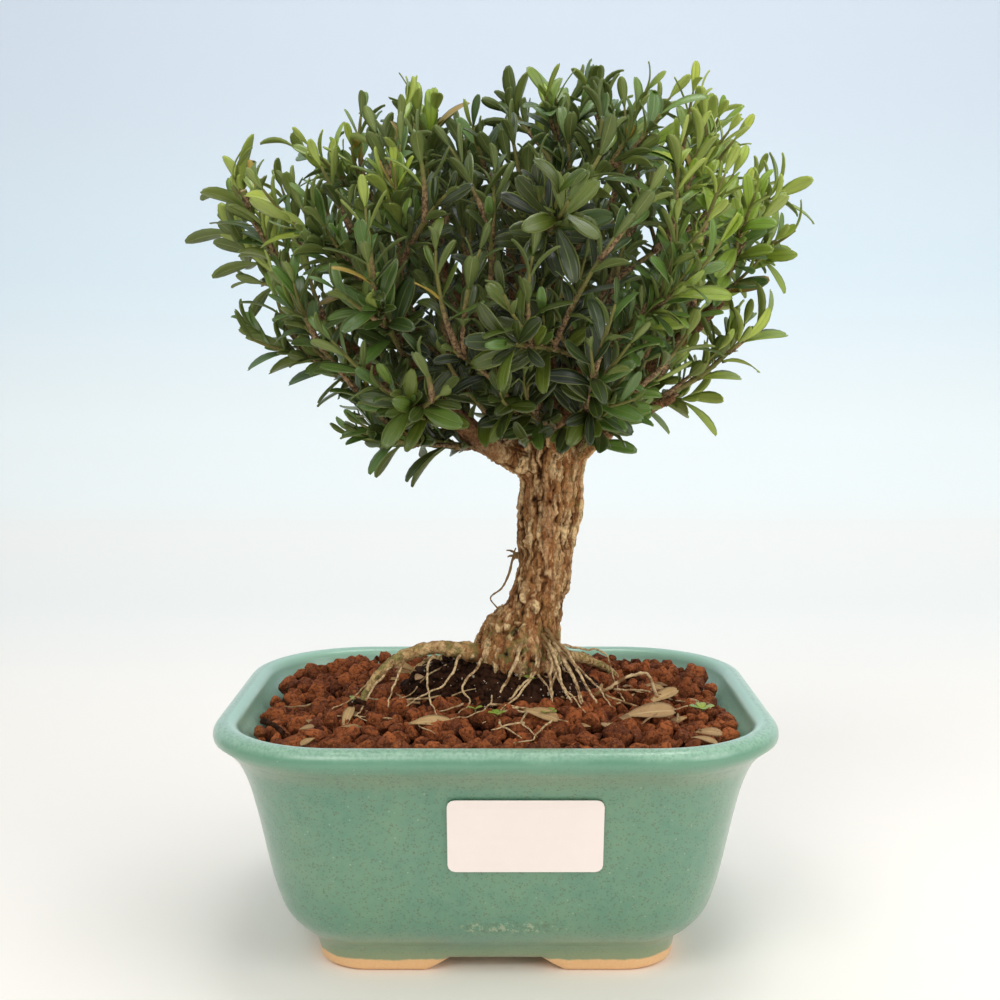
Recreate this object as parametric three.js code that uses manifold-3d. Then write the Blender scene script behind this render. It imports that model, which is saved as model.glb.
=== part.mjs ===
// A Harland boxwood bonsai in its glazed stoneware pot, at real size, in millimetres, with +Z up.
// The pot stands on four feet, cut from one foot ring. It holds clay granules, the old root ball
// and a trunk with its surface roots and limbs. Leafy shoots grow from the limbs, one mesh each.
// Sizes are worked out about the middle of the pot, and the last step moves the whole object so
// that the origin is under the middle of its outer box.
import * as THREE from "three";
import { mergeVertices } from "three/addons/utils/BufferGeometryUtils.js";
import Module from "manifold-3d";

const wasm = await Module();
wasm.setup();

// Clearance between two meshes that touch on the real object
const GAP = 0.3;

// Pot: rounded rectangle in plan. Each wall level is [height, half width]
const POT = {
  depthLess: 13, // the half depth is this much less than the half width
  rimHalfWidth: 75,
  wall: 5.2,
  floorUnder: 3.4,
  floorTop: 9,
  footHalfWidth: 48.4,
  footCorner: 14,
  rimCorner: 35,
  cornerSteps: 4,
  footRingWidth: 9,
  notchTop: 25.3,
  notchFoot: 35.5,
  sideNotchShare: 0.62, // the side notches' width as a share of the front one's
  drainRadius: 6,
  drainOffset: 22,
};
const OUTER_WALL = [
  [0, 48],
  [7, 49.6],
  [10.5, 53.4],
  [15, 57],
  [22.6, 59.8],
  [42, 64],
  [51, 66.3],
  [57, 68.8],
  [60.4, 71.4],
];
const LIP = { centreHeight: 64.4, radius: 3.3, steps: 4, from: -35, to: 180 }; // arc in degrees

// Paper label on the front wall, bare
const LABEL = { width: 39.4, height: 20.4, thick: 0.4, centreX: 7.5, lowZ: 33, corner: 2 };

// Clay granules: a heap with one six-sided lump for each granule
const SOIL = { edgeHeight: 62.4, heapRise: 6.2, heapReach: 44, lattice: 5.9, lump: 2.7, middleX: 2 };

// Old root ball, dark soil that rises round the trunk
const BALL = { x: 1, y: 0.5, low: 30, rings: [[0, 22], [0.45, 31], [0.72, 30], [0.86, 24], [0.95, 15]] };
const BALL_TOP = 79;
const BALL_DEPTH_SHARE = 0.72;
const BALL_SIDES = 12;

// Trunk: [height, middle x, middle y, radius]
const TRUNK = [
  [60, 7, 0.5, 8],
  [70, 6.5, 0.3, 11.5],
  [78, 6.2, 0, 12.8],
  [83, 6.8, 0, 12.2],
  [88, 8.4, 0, 10.6],
  [94, 10.4, 0, 9.2],
  [101, 12.9, 0.2, 8.3],
  [111, 14.2, 0.5, 8.5],
  [121, 15.2, 0.8, 8.8],
  [128, 15.6, 1, 9.4],
  [134, 15, 1.2, 10.4],
  [139, 15.4, 1.2, 9.4],
  [144, 15.8, 1.2, 6],
];
const TRUNK_SIDES = 10;
const BARK_RIDGE = 0.07; // share of the radius by which every other edge stands out

// Limbs: points as [x, y, z], then the radius at each end
const LIMBS = [
  {
    path: [[12, 0, 129], [5, -3, 133], [-11, -5, 142.5], [-28, -9, 155.5], [-46, -12, 171], [-56, -13, 182]],
    radii: [3.7, 1.1],
  },
  {
    path: [[12, -3, 131], [1, -8, 137], [-15, -18, 151], [-23.5, -28, 164.5], [-24, -33, 179]],
    radii: [3.8, 1.2],
  },
  {
    path: [[16, 0, 129], [22, -3, 135.5], [34, -6, 144], [49, -9, 152]],
    radii: [3.8, 1.2],
  },
  {
    path: [[14, 1, 131], [9, 2, 140], [1, 4, 159], [-11.5, 4, 181], [-18, 4, 196]],
    radii: [4.4, 1.1],
  },
  {
    path: [[15, 0, 133], [13.6, -1, 150], [14, -2, 165], [17.5, -4, 191], [22, -4, 208]],
    radii: [4.6, 1.1],
  },
  {
    path: [[16, 1, 131], [20, 4, 142], [30, 8, 161], [45, 12, 181], [53, 13, 195]],
    radii: [4.4, 1.1],
  },
  {
    path: [[17, 1, 130], [24, 1, 140], [40, 3, 156], [58, 5, 173], [66, 6, 182]],
    radii: [4.2, 1.1],
  },
  {
    path: [[16, -3, 131], [18, -13, 144], [22, -26, 157], [27, -36, 172]],
    radii: [3.4, 1.1],
  },
  {
    path: [[16, 4, 130], [20, 16, 145], [24, 30, 158], [27, 41, 172]],
    radii: [3.8, 1.1],
  },
  {
    path: [[12, 4, 131], [-1, 15, 147], [-14, 27, 160], [-26, 37, 173]],
    radii: [3.6, 1.1],
  },
  {
    path: [[14, 4, 133], [10, 14, 155], [6, 24, 176], [4, 31, 195]],
    radii: [3.4, 1.1],
  },
  {
    path: [[18, 3, 131], [31, 13, 146], [44, 24, 159], [54, 32, 173]],
    radii: [3.4, 1.1],
  },
  {
    path: [[14, -3, 133], [11, -12, 155], [8, -22, 177], [8, -29, 197]],
    radii: [3.2, 1.1],
  },
];
const LIMB_SIDES = 5;
const LIMB_STEPS = 5;

// Surface roots: the thick one arches to the left, and the thin ones fan out to the front right
const ROOTS = [
  {
    path: [[3, -3, 77], [-9, -6, 80.2], [-21, -9, 81], [-31, -12, 76.5], [-38, -15, 66]],
    radii: [4.2, 1.2],
  },
  {
    path: [[-1, 2, 77], [-12, 8, 75], [-22, 15, 71], [-30, 21, 62]],
    radii: [3, 1],
  },
  {
    path: [[14, 3, 77], [24, 10, 75], [33, 17, 70], [40, 23, 61]],
    radii: [2.6, 0.9],
  },
  {
    path: [[8, 8, 78], [10, 18, 75], [11, 28, 68], [12, 35, 61]],
    radii: [3.6, 1.1],
  },
  {
    path: [[5, -9, 79], [0, -15, 75], [-5, -21, 69.5], [-9, -26, 62]],
    radii: [1.4, 0.8],
  },
  {
    path: [[16, -7, 84], [21, -14, 78], [26, -21, 71], [30, -27, 63]],
    radii: [1.2, 0.7],
  },
  {
    path: [[14, -8, 83], [17.5, -15, 77], [20, -22, 70], [22, -28, 62]],
    radii: [1.1, 0.7],
  },
  {
    path: [[12, -9, 82], [13, -15, 77], [12.5, -21, 70.5], [12, -27, 62]],
    radii: [1.1, 0.7],
  },
  {
    path: [[9, -9, 82], [6.5, -15, 76.5], [3.5, -21, 70.5], [1, -27, 62]],
    radii: [1.1, 0.7],
  },
  {
    path: [[19, -4, 82], [28, -7, 78.5], [36, -9, 72], [41, -10, 62]],
    radii: [1.1, 0.7],
  },
];
const ROOT_SIDES = 5;
const ROOT_STEPS = 4;

// Crown: its outline seen from the front, as [angle in degrees, reach] about its middle
const CROWN = { x: 6.7, y: 0, z: 170, depth: 64 };
const CROWN_REACH = [
  [-90, 33],
  [-60, 40],
  [-30, 50],
  [-10, 57],
  [5, 66],
  [24, 84],
  [38, 85],
  [55, 81],
  [75, 73],
  [98, 64],
  [115, 71],
  [130, 77],
  [148, 88],
  [165, 90],
  [180, 76],
  [200, 68],
  [225, 58],
  [250, 36],
  [270, 33],
];
// Tips of the shoots that shape that outline, each as [x, y, z]
const KEY_TIPS = [
  [-69, -12, 209],
  [-73, 6, 198],
  [-45, -10, 213],
  [-18, -5, 224],
  [5, 9, 231],
  [27, 3, 234],
  [40, -8, 229],
  [57, 12, 226],
  [14, -18, 227],
  [78, 5, 207],
  [74, -8, 190],
  [67, -12, 168],
  [54, -2, 151],
  [30, -22, 148],
  [-24, -38, 203],
  [-26, -20, 142],
  [-44, -12, 149],
  [-57, -16, 165],
];
const SHOOTS = 40;
const TIPS_TRIED = 240;
const TIP_SPACING = 21;
const TIP_REACH = { least: 0.93, more: 0.09, leafShare: 0.55 }; // share of the outline's reach, less a leaf
const DEEPEST_SHARE = 0.98;
const UNDER_TRUNK = 26; // no shoot ends lower than this far under the crown's middle, near the trunk
// Steps of an even two-way spread over depth and angle
const DEPTH_STEP = 0.7548776662;
const TURN_STEP = 0.569840291;

// Leafy shoots: a square stem with leaves in opposite pairs, each pair turned from the one below
const SHOOT = { rootRadius: 1.2, tipRadius: 0.62, pairs: 4, pairGap: 7, tipRun: 2.5 };
const STEM_CORNERS = 4;
const LOWEST_PAIR = 3; // least distance from a stem's butt to a pair
const BARE_RUN = 9; // a bare butt longer than this gets one more ring
const END_KEY = 90;
const FEWEST_LEAVES = 7; // a shoot with fewer leaves than this is left out
const LEAF = { length: 15.5, width: 5.8, thick: 0.64, rise: 50, arch: 0.09 };
const LEAF_SIZE = { least: 0.86, more: 0.26, lastLess: 0.2 }; // the last leaf of a shoot is smaller
// Stations along a blade: [share of its length, share of its half width]
const LEAF_STATIONS = [
  [0.4, 0.66],
  [0.75, 1],
  [1, 0.42],
];
// Turns in degrees that a blade tries, in this order, until it is clear of the other shoots
const BENDS = [
  [0, 0],
  [-14, 0],
  [14, 0],
  [0, 28],
  [0, -28],
  [-28, 10],
  [26, -10],
  [-20, 40],
  [20, -40],
  [34, 30],
  [-34, -30],
];
// Sideways bows, as shares of a stem's length, that a stem tries in the same way
const BOWS = [0, 0.12, -0.12, 0.22, -0.22, 0.34, -0.34];

// Dry leaves on the granules: [x, y, turn in degrees, length]
const FALLEN = [
  [-17, -33, 8, 12],
  [12, -30, -25, 10],
  [41, -27, 14, 15],
  [-40, -24, 80, 9],
  [47, -6, 40, 11],
  [33, 33, -60, 12],
  [-30, 36, 20, 13],
];

const MATERIALS = {
  glaze: { color: 0x4f9c84, roughness: 0.32 },
  paper: { color: 0xf6ece8, roughness: 0.8 },
  granules: { color: 0x7a3f28, roughness: 0.95 },
  dark_soil: { color: 0x2a1a14, roughness: 0.95 },
  bark: { color: 0x8a6a45, roughness: 0.9 },
  leaf: { color: 0x3d6430, roughness: 0.45 },
  dry_leaf: { color: 0xb08a4c, roughness: 0.8 },
};
const materials = Object.fromEntries(
  Object.entries(MATERIALS).map(([name, look]) => [
    name,
    new THREE.MeshStandardMaterial({ name, metalness: 0, ...look }),
  ]),
);

// A repeatable draw from 0 to 1 for a list of whole numbers
function chance(...keys) {
  let h = 0x2545f491;
  for (const key of keys) {
    h = Math.imul(h ^ (key + 0x9e37), 0x85ebca6b) >>> 0;
    h = Math.imul(h ^ (h >>> 13), 0xc2b2ae35) >>> 0;
    h = (h ^ (h >>> 16)) >>> 0;
  }
  return h / 2 ** 32;
}
const spread = (...keys) => 2 * chance(...keys) - 1;
const vector = (p) => new THREE.Vector3(...p);
const radians = THREE.MathUtils.degToRad;

// A solid from any closed three.js geometry
function solid(geometry) {
  const bare = geometry.index ? geometry.toNonIndexed() : geometry.clone();
  for (const name of ["normal", "uv"]) bare.deleteAttribute(name);
  const merged = mergeVertices(bare, 1e-4);
  return new wasm.Manifold(
    new wasm.Mesh({
      numProp: 3,
      vertProperties: new Float32Array(merged.attributes.position.array),
      triVerts: new Uint32Array(merged.index.array),
    }),
  );
}

// A named mesh from a solid, made of its largest body
function meshOf(name, made, material) {
  const body = made.decompose().reduce((a, b) => (a.volume() > b.volume() ? a : b));
  const data = body.getMesh();
  const geometry = new THREE.BufferGeometry()
    .setAttribute("position", new THREE.BufferAttribute(new Float32Array(data.vertProperties), 3))
    .setIndex(new THREE.BufferAttribute(new Uint32Array(data.triVerts), 1));
  geometry.computeVertexNormals();
  const mesh = new THREE.Mesh(geometry, material);
  mesh.name = name;
  return mesh;
}

// A closed skin over rings of equal length, each a list of points that runs counter-clockwise
// seen from the end of the loft
function loft(rings) {
  const count = rings[0].length;
  const points = rings.flat();
  const index = [];
  for (let r = 0; r + 1 < rings.length; r++)
    for (let i = 0; i < count; i++) {
      const a = r * count + i;
      const b = r * count + ((i + 1) % count);
      index.push(a, b, b + count, a, b + count, a + count);
    }
  const last = (rings.length - 1) * count;
  for (let i = 1; i + 1 < count; i++) {
    index.push(0, i + 1, i);
    index.push(last, last + i, last + i + 1);
  }
  const geometry = new THREE.BufferGeometry();
  geometry.setAttribute(
    "position",
    new THREE.Float32BufferAttribute(points.flatMap((p) => [p.x, p.y, p.z]), 3),
  );
  return solid(geometry.setIndex(index));
}

// Rounded rectangle in plan at one height
function plan(halfWidth, halfDepth, corner, z, steps = POT.cornerSteps) {
  const ring = [];
  for (let quarter = 0; quarter < 4; quarter++) {
    const sx = quarter === 0 || quarter === 3 ? 1 : -1;
    const sy = quarter < 2 ? 1 : -1;
    for (let i = 0; i <= steps; i++) {
      const angle = ((quarter + i / steps) * Math.PI) / 2;
      ring.push(
        new THREE.Vector3(
          sx * (halfWidth - corner) + corner * Math.cos(angle),
          sy * (halfDepth - corner) + corner * Math.sin(angle),
          z,
        ),
      );
    }
  }
  return ring;
}

// The pot's corner radius grows from foot to rim with its half width
function potCorner(halfWidth) {
  const share = (halfWidth - POT.footHalfWidth) / (POT.rimHalfWidth - POT.footHalfWidth);
  return THREE.MathUtils.lerp(POT.footCorner, POT.rimCorner, share);
}
function potRing(halfWidth, z) {
  return plan(halfWidth, halfWidth - POT.depthLess, potCorner(halfWidth), z);
}

// Half width of the outer wall at a height
function wallAt(z) {
  const above = OUTER_WALL.findIndex(([height]) => height >= z);
  const [z1, w1] = OUTER_WALL[above];
  const [z0, w0] = OUTER_WALL[Math.max(0, above - 1)];
  return z1 === z0 ? w1 : THREE.MathUtils.mapLinear(z, z0, z1, w0, w1);
}

// Inner wall rings from the floor to the lip, drawn in by a clearance
const INNER_HEIGHTS = [15, 57];
const FLOOR_FILLET = 4;
function cavityRings(clear) {
  const [low] = INNER_HEIGHTS;
  const floor = potRing(wallAt(low) - POT.wall - FLOOR_FILLET - clear, POT.floorTop + clear);
  const walls = INNER_HEIGHTS.map((z) => potRing(wallAt(z) - POT.wall - clear, z));
  return [floor, ...walls];
}

function makePot() {
  const lip = [];
  const lipMiddle = POT.rimHalfWidth - LIP.radius;
  for (let i = 0; i <= LIP.steps; i++) {
    const angle = radians(THREE.MathUtils.lerp(LIP.from, LIP.to, i / LIP.steps));
    lip.push(
      potRing(lipMiddle + LIP.radius * Math.cos(angle), LIP.centreHeight + LIP.radius * Math.sin(angle)),
    );
  }
  const outside = OUTER_WALL.map(([z, halfWidth]) => potRing(halfWidth, z));
  let pot = loft([...outside, ...lip, ...cavityRings(0).reverse()]);

  const inFoot = POT.footHalfWidth - POT.footRingWidth;
  const under = [-1, POT.floorUnder].map((z) =>
    plan(inFoot, inFoot - POT.depthLess, POT.footCorner / 2, z, 2),
  );
  pot = pot.subtract(loft(under));

  const notch = new THREE.Shape([
    new THREE.Vector2(-POT.notchFoot / 2, -1),
    new THREE.Vector2(POT.notchFoot / 2, -1),
    new THREE.Vector2(POT.notchTop / 2, POT.floorUnder),
    new THREE.Vector2(-POT.notchTop / 2, POT.floorUnder),
  ]);
  const long = 2 * POT.rimHalfWidth;
  const acrossDepth = new THREE.ExtrudeGeometry(notch, { depth: long, bevelEnabled: false });
  acrossDepth.translate(0, 0, -long / 2).rotateX(Math.PI / 2);
  const acrossWidth = acrossDepth.clone().scale(POT.sideNotchShare, 1, 1).rotateZ(Math.PI / 2);
  pot = pot.subtract(solid(acrossDepth)).subtract(solid(acrossWidth));

  for (const side of [-1, 1]) {
    const drain = new THREE.CylinderGeometry(POT.drainRadius, POT.drainRadius, 12, 12);
    drain.rotateX(Math.PI / 2).translate(side * POT.drainOffset, 0, POT.floorTop);
    pot = pot.subtract(solid(drain));
  }
  return meshOf("pot", pot, materials.glaze);
}

function makeLabel() {
  const highZ = LABEL.lowZ + LABEL.height;
  const heights = [LABEL.lowZ, 42, 51, highZ];
  const front = (z, off) => new THREE.Vector2(-(wallAt(z) - POT.depthLess) - off, z);
  const inner = heights.map((z) => front(z, GAP));
  const outer = heights.map((z) => front(z, GAP + LABEL.thick)).reverse();
  const section = new THREE.Shape([...inner, ...outer]);
  const strip = new THREE.ExtrudeGeometry(section, { depth: LABEL.width, bevelEnabled: false });
  strip.applyMatrix4(
    new THREE.Matrix4().makeBasis(
      new THREE.Vector3(0, 1, 0),
      new THREE.Vector3(0, 0, 1),
      new THREE.Vector3(1, 0, 0),
    ),
  );
  strip.translate(LABEL.centreX - LABEL.width / 2, 0, 0);
  const outline = plan(LABEL.width / 2, LABEL.height / 2, LABEL.corner, 0, 3);
  const cutter = new THREE.ExtrudeGeometry(
    new THREE.Shape(outline.map((p) => new THREE.Vector2(p.x, p.y))),
    { depth: 2 * POT.rimHalfWidth, bevelEnabled: false },
  );
  cutter.rotateX(Math.PI / 2).translate(LABEL.centreX, 0, (LABEL.lowZ + highZ) / 2);
  return meshOf("label", solid(strip).intersect(solid(cutter)), materials.paper);
}

// A tapered tube along a smooth path
function tube(points, radiusAt, sides, steps) {
  const curve = new THREE.CatmullRomCurve3(points);
  const centres = curve.getPoints(steps);
  const up = new THREE.Vector3();
  const rings = centres.map((centre, i) => {
    const along = curve.getTangent(i / steps);
    if (i === 0) up.set(0, 0, 1).addScaledVector(along, -along.z);
    if (i === 0 && up.length() < 0.2) up.set(0, 1, 0).addScaledVector(along, -along.y);
    up.addScaledVector(along, -up.dot(along)).normalize();
    const across = new THREE.Vector3().crossVectors(along, up);
    const radius = radiusAt(i / steps);
    return Array.from({ length: sides }, (_, k) => {
      const angle = (-2 * Math.PI * k) / sides;
      return centre
        .clone()
        .addScaledVector(up, radius * Math.cos(angle))
        .addScaledVector(across, -radius * Math.sin(angle));
    });
  });
  return loft(rings);
}
const taper = ([from, to], grow) => (t) => THREE.MathUtils.lerp(from, to, t) + grow;

// Trunk, limbs and roots as one solid, grown by a clearance where it cuts its neighbours
function treeWood(grow) {
  const rings = TRUNK.map(([z, x, y, radius], level) =>
    Array.from({ length: TRUNK_SIDES }, (_, k) => {
      const angle = (2 * Math.PI * (k + 0.25 * level)) / TRUNK_SIDES;
      const ridge = 1 + BARK_RIDGE * spread(level, k, 7);
      const reach = (radius + grow) * ridge;
      return new THREE.Vector3(x + reach * Math.cos(angle), y + reach * Math.sin(angle), z);
    }),
  );
  let wood = loft(rings);
  for (const { path, radii } of LIMBS)
    wood = wood.add(tube(path.map(vector), taper(radii, grow), LIMB_SIDES, LIMB_STEPS));
  for (const { path, radii } of ROOTS)
    wood = wood.add(tube(path.map(vector), taper(radii, grow), ROOT_SIDES, ROOT_STEPS));
  return wood;
}

function rootBall(grow) {
  const height = BALL_TOP - BALL.low;
  const rings = BALL.rings.map(([share, radius], level) =>
    Array.from({ length: BALL_SIDES }, (_, k) => {
      const angle = (2 * Math.PI * k) / BALL_SIDES;
      const reach = radius * (1 + 0.07 * spread(level, k, 3)) + grow;
      return new THREE.Vector3(
        BALL.x + reach * Math.cos(angle),
        BALL.y + BALL_DEPTH_SHARE * reach * Math.sin(angle),
        BALL.low + height * share + grow * Math.sign(share - 0.5),
      );
    }),
  );
  return loft(rings);
}

// Height of the granules' surface without its lumps
function heapHeight(x, y) {
  const away = Math.hypot(x - SOIL.middleX, 1.25 * y) / SOIL.heapReach;
  return SOIL.edgeHeight + SOIL.heapRise * Math.exp(-(away ** 2));
}

// Granules: a lattice of triangles in which one point of each three is a lump's top
function granuleHeap() {
  const step = SOIL.lattice;
  const columns = Math.ceil((2 * POT.rimHalfWidth) / step);
  const rows = Math.ceil((2 * POT.rimHalfWidth) / (step * Math.sqrt(0.75)));
  const surface = [];
  for (let j = 0; j <= rows; j++)
    for (let i = 0; i <= columns; i++) {
      const top = (i + j + Math.ceil(j / 2)) % 3 === 0;
      const jitter = (key) => 0.2 * step * spread(i, j, key);
      const x = (i + (j % 2) / 2 - columns / 2) * step + jitter(1);
      const y = (j - rows / 2) * step * Math.sqrt(0.75) + jitter(2);
      const lump = top ? SOIL.lump * (0.75 + 0.5 * chance(i, j, 3)) : -0.4 * chance(i, j, 4);
      surface.push(x, y, heapHeight(x, y) + lump);
    }
  const width = columns + 1;
  const index = [];
  for (let j = 0; j < rows; j++)
    for (let i = 0; i < columns; i++) {
      const a = j * width + i;
      const b = a + width;
      if (j % 2) index.push(a, a + 1, b + 1, a, b + 1, b);
      else index.push(a, a + 1, b, a + 1, b + 1, b);
    }
  const border = [];
  for (let i = 0; i < columns; i++) border.push(i);
  for (let j = 0; j < rows; j++) border.push(j * width + columns);
  for (let i = columns; i > 0; i--) border.push(rows * width + i);
  for (let j = rows; j > 0; j--) border.push(j * width);
  const foot = surface.length / 3;
  for (const p of border) surface.push(surface[3 * p], surface[3 * p + 1], 0);
  const centre = surface.length / 3;
  surface.push(0, 0, 0);
  border.forEach((p, n) => {
    const m = (n + 1) % border.length;
    index.push(p, foot + n, foot + m, p, foot + m, border[m]);
    index.push(centre, foot + m, foot + n);
  });
  const geometry = new THREE.BufferGeometry();
  geometry.setAttribute("position", new THREE.Float32BufferAttribute(surface, 3));
  return solid(geometry.setIndex(index));
}

function makeSoil(wood) {
  const cavity = cavityRings(GAP);
  const top = cavity[cavity.length - 1].map((p) => p.clone().setZ(80));
  let soil = granuleHeap().intersect(loft([...cavity, top]));
  soil = soil.subtract(rootBall(GAP)).subtract(wood);
  return soil;
}

// Reach of the crown's outline at an angle
function crownReach(degrees) {
  const a = ((((degrees + 90) % 360) + 360) % 360) - 90;
  const above = CROWN_REACH.findIndex(([angle]) => angle >= a);
  const [a1, r1] = CROWN_REACH[above];
  const [a0, r0] = CROWN_REACH[Math.max(0, above - 1)];
  return a1 === a0 ? r1 : THREE.MathUtils.mapLinear(a, a0, a1, r0, r1);
}

// Where shoots end: at the key tips first, then spread evenly over the crown
function shootTips() {
  const tips = KEY_TIPS.map(vector);
  for (let k = 0; k < TIPS_TRIED; k++) {
    const depth = DEEPEST_SHARE * (2 * ((k * DEPTH_STEP + 0.5) % 1) - 1);
    const angle = 360 * ((k * TURN_STEP + 0.5) % 1);
    const flat = Math.sqrt(1 - depth ** 2);
    const share = TIP_REACH.least + TIP_REACH.more * chance(k, 12);
    const reach = flat * share * crownReach(angle) - TIP_REACH.leafShare * LEAF.length;
    const x = CROWN.x + reach * Math.cos(radians(angle));
    const z = CROWN.z + reach * Math.sin(radians(angle));
    if (z < CROWN.z - UNDER_TRUNK && Math.abs(x - CROWN.x) < UNDER_TRUNK) continue;
    const tip = new THREE.Vector3(x, CROWN.y + CROWN.depth * depth, z);
    tips.push(tip);
  }
  return tips;
}

// Points on the limbs that a shoot may grow from, best first: the nearest to a shoot's length
// away and not behind, one for each limb
const LIMB_CURVES = LIMBS.map(({ path }) => new THREE.CatmullRomCurve3(path.map(vector)));
const SHOOT_REACH = 32;
const BACKWARD_COST = 16;
const ROOTS_TRIED = 5;
function shootRoots(tip) {
  const roots = [];
  for (const curve of LIMB_CURVES) {
    let best = null;
    for (let t = 0.3; t <= 0.98; t += 0.04) {
      const point = curve.getPoint(t);
      const tangent = curve.getTangent(t);
      const away = tip.clone().sub(point);
      const outward = away.clone().normalize().dot(tangent);
      const cost = Math.abs(away.length() - SHOOT_REACH) + BACKWARD_COST * Math.max(0, 0.4 - outward);
      if (!best || cost < best.cost) best = { cost, point, tangent };
    }
    roots.push(best);
  }
  return roots.sort((a, b) => a.cost - b.cost).slice(0, ROOTS_TRIED);
}

// A stem's path: it leaves its limb along the limb and turns up to its tip
function stemCurve({ point, tangent }, tip, bow) {
  const away = tip.clone().sub(point);
  const side = new THREE.Vector3().crossVectors(away, tangent).normalize();
  const bend = point
    .clone()
    .lerp(tip, 0.45)
    .addScaledVector(tangent, 0.14 * away.length())
    .addScaledVector(side, bow * away.length());
  bend.z -= 0.06 * away.length();
  return new THREE.QuadraticBezierCurve3(point, bend, tip);
}

// Rings of a stem from its butt to its tip. Two close rings carry each pair of leaves
function stemRings(shoot, curve) {
  const length = curve.getLength();
  const stops = [0];
  const lowest = length - SHOOT.tipRun - (SHOOT.pairs - 1) * SHOOT.pairGap;
  if (lowest > BARE_RUN) stops.push(lowest / 2);
  for (let pair = 0; pair < SHOOT.pairs; pair++) {
    const middle = lowest + pair * SHOOT.pairGap + 0.8 * spread(shoot, pair, 20);
    if (middle < LOWEST_PAIR) continue;
    stops.push(middle - LEAF.thick / 2, middle + LEAF.thick / 2);
  }
  const up = new THREE.Vector3(spread(shoot, 31), spread(shoot, 32), spread(shoot, 33)).normalize();
  return stops.map((stop) => {
    const t = stop / length;
    const along = curve.getTangentAt(t);
    up.addScaledVector(along, -up.dot(along)).normalize();
    const across = new THREE.Vector3().crossVectors(along, up);
    const centre = curve.getPointAt(t);
    const radius = THREE.MathUtils.lerp(SHOOT.rootRadius, SHOOT.tipRadius, t);
    return Array.from({ length: STEM_CORNERS }, (_, k) =>
      centre
        .clone()
        .addScaledVector(up, radius * Math.cos((k * 2 * Math.PI) / STEM_CORNERS))
        .addScaledVector(across, radius * Math.sin((k * 2 * Math.PI) / STEM_CORNERS)),
    );
  });
}

// Rings of one blade, which grows from a four-cornered patch: left, right, upper right, upper left
function bladeRings(patch, along, [pitch, twist], rise, length, width) {
  const root = patch.reduce((sum, p) => sum.add(p), new THREE.Vector3()).divideScalar(patch.length);
  const side = patch[1].clone().sub(patch[0]).normalize();
  const out = new THREE.Vector3().crossVectors(side, along).normalize();
  const direction = along.clone().applyAxisAngle(
    new THREE.Vector3().crossVectors(along, out).normalize(),
    radians(rise + pitch),
  );
  side.applyAxisAngle(direction, radians(twist));
  const face = new THREE.Vector3().crossVectors(direction, side).normalize();
  const rings = LEAF_STATIONS.map(([t, share]) => {
    const centre = root
      .clone()
      .addScaledVector(direction, t * length)
      .addScaledVector(face, LEAF.arch * length * 4 * (t - t * t) - LEAF.arch * length * t * t);
    const half = side.clone().multiplyScalar((share * width) / 2);
    const thick = face.clone().multiplyScalar(LEAF.thick / 2);
    return [
      centre.clone().sub(half).sub(thick),
      centre.clone().add(half).sub(thick),
      centre.clone().add(half).add(thick),
      centre.clone().sub(half).add(thick),
    ];
  });
  return [patch, ...rings];
}

const boxesMeet = (a, b) =>
  [0, 1, 2].every((i) => a.min[i] < b.max[i] && b.min[i] < a.max[i]);
const clearOf = (made, others) => {
  const box = made.boundingBox();
  return others.every((o) => !boxesMeet(box, o.box) || made.intersect(o.made).volume() < 1e-6);
};

// A closed solid from four-cornered patches, each listed counter-clockwise seen from outside
function patchwork(patches) {
  const points = patches.flatMap(([a, b, c, d]) => [a, b, c, a, c, d]).flatMap((p) => [p.x, p.y, p.z]);
  const geometry = new THREE.BufferGeometry();
  return solid(geometry.setAttribute("position", new THREE.Float32BufferAttribute(points, 3)));
}
const sleeve = (rings) =>
  rings.slice(1).flatMap((ring, r) =>
    ring.map((corner, i) => {
      const next = (i + 1) % ring.length;
      return [rings[r][i], rings[r][next], ring[next], corner];
    }),
  );

// Leaves grow out of the stem's side patches, in pairs, and one from its end
function leafPatches(rings) {
  const wanted = [];
  const first = rings.length - 2 * Math.floor((rings.length - 1) / 2);
  for (let r = first, pair = 0; r + 1 < rings.length; r += 2, pair++) {
    const along = rings[r + 1][0].clone().sub(rings[r][0]).normalize();
    for (const face of [pair % 2, (pair % 2) + 2]) {
      const next = (face + 1) % STEM_CORNERS;
      const patch = [rings[r][face], rings[r][next], rings[r + 1][next], rings[r + 1][face]];
      wanted.push({ patch, along, key: 4 * pair + face, slot: r * STEM_CORNERS + face, last: false });
    }
  }
  const end = rings[rings.length - 1];
  const forward = new THREE.Vector3().subVectors(end[3], end[0]).normalize();
  wanted.push({ patch: end, along: forward, key: END_KEY, slot: -1, last: true });
  return wanted;
}

// A bare stem to a tip that keeps clear of everything placed before it, if there is one
function findStem(shoot, tip, wood, others) {
  for (const root of shootRoots(tip))
    for (const bow of BOWS) {
      const rings = stemRings(shoot, stemCurve(root, tip, bow));
      const bare = loft(rings);
      const bodies = bare.subtract(wood).decompose();
      if (bodies.length === 1 && clearOf(bodies[0], others)) return { rings, bare };
    }
  return null;
}

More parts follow.
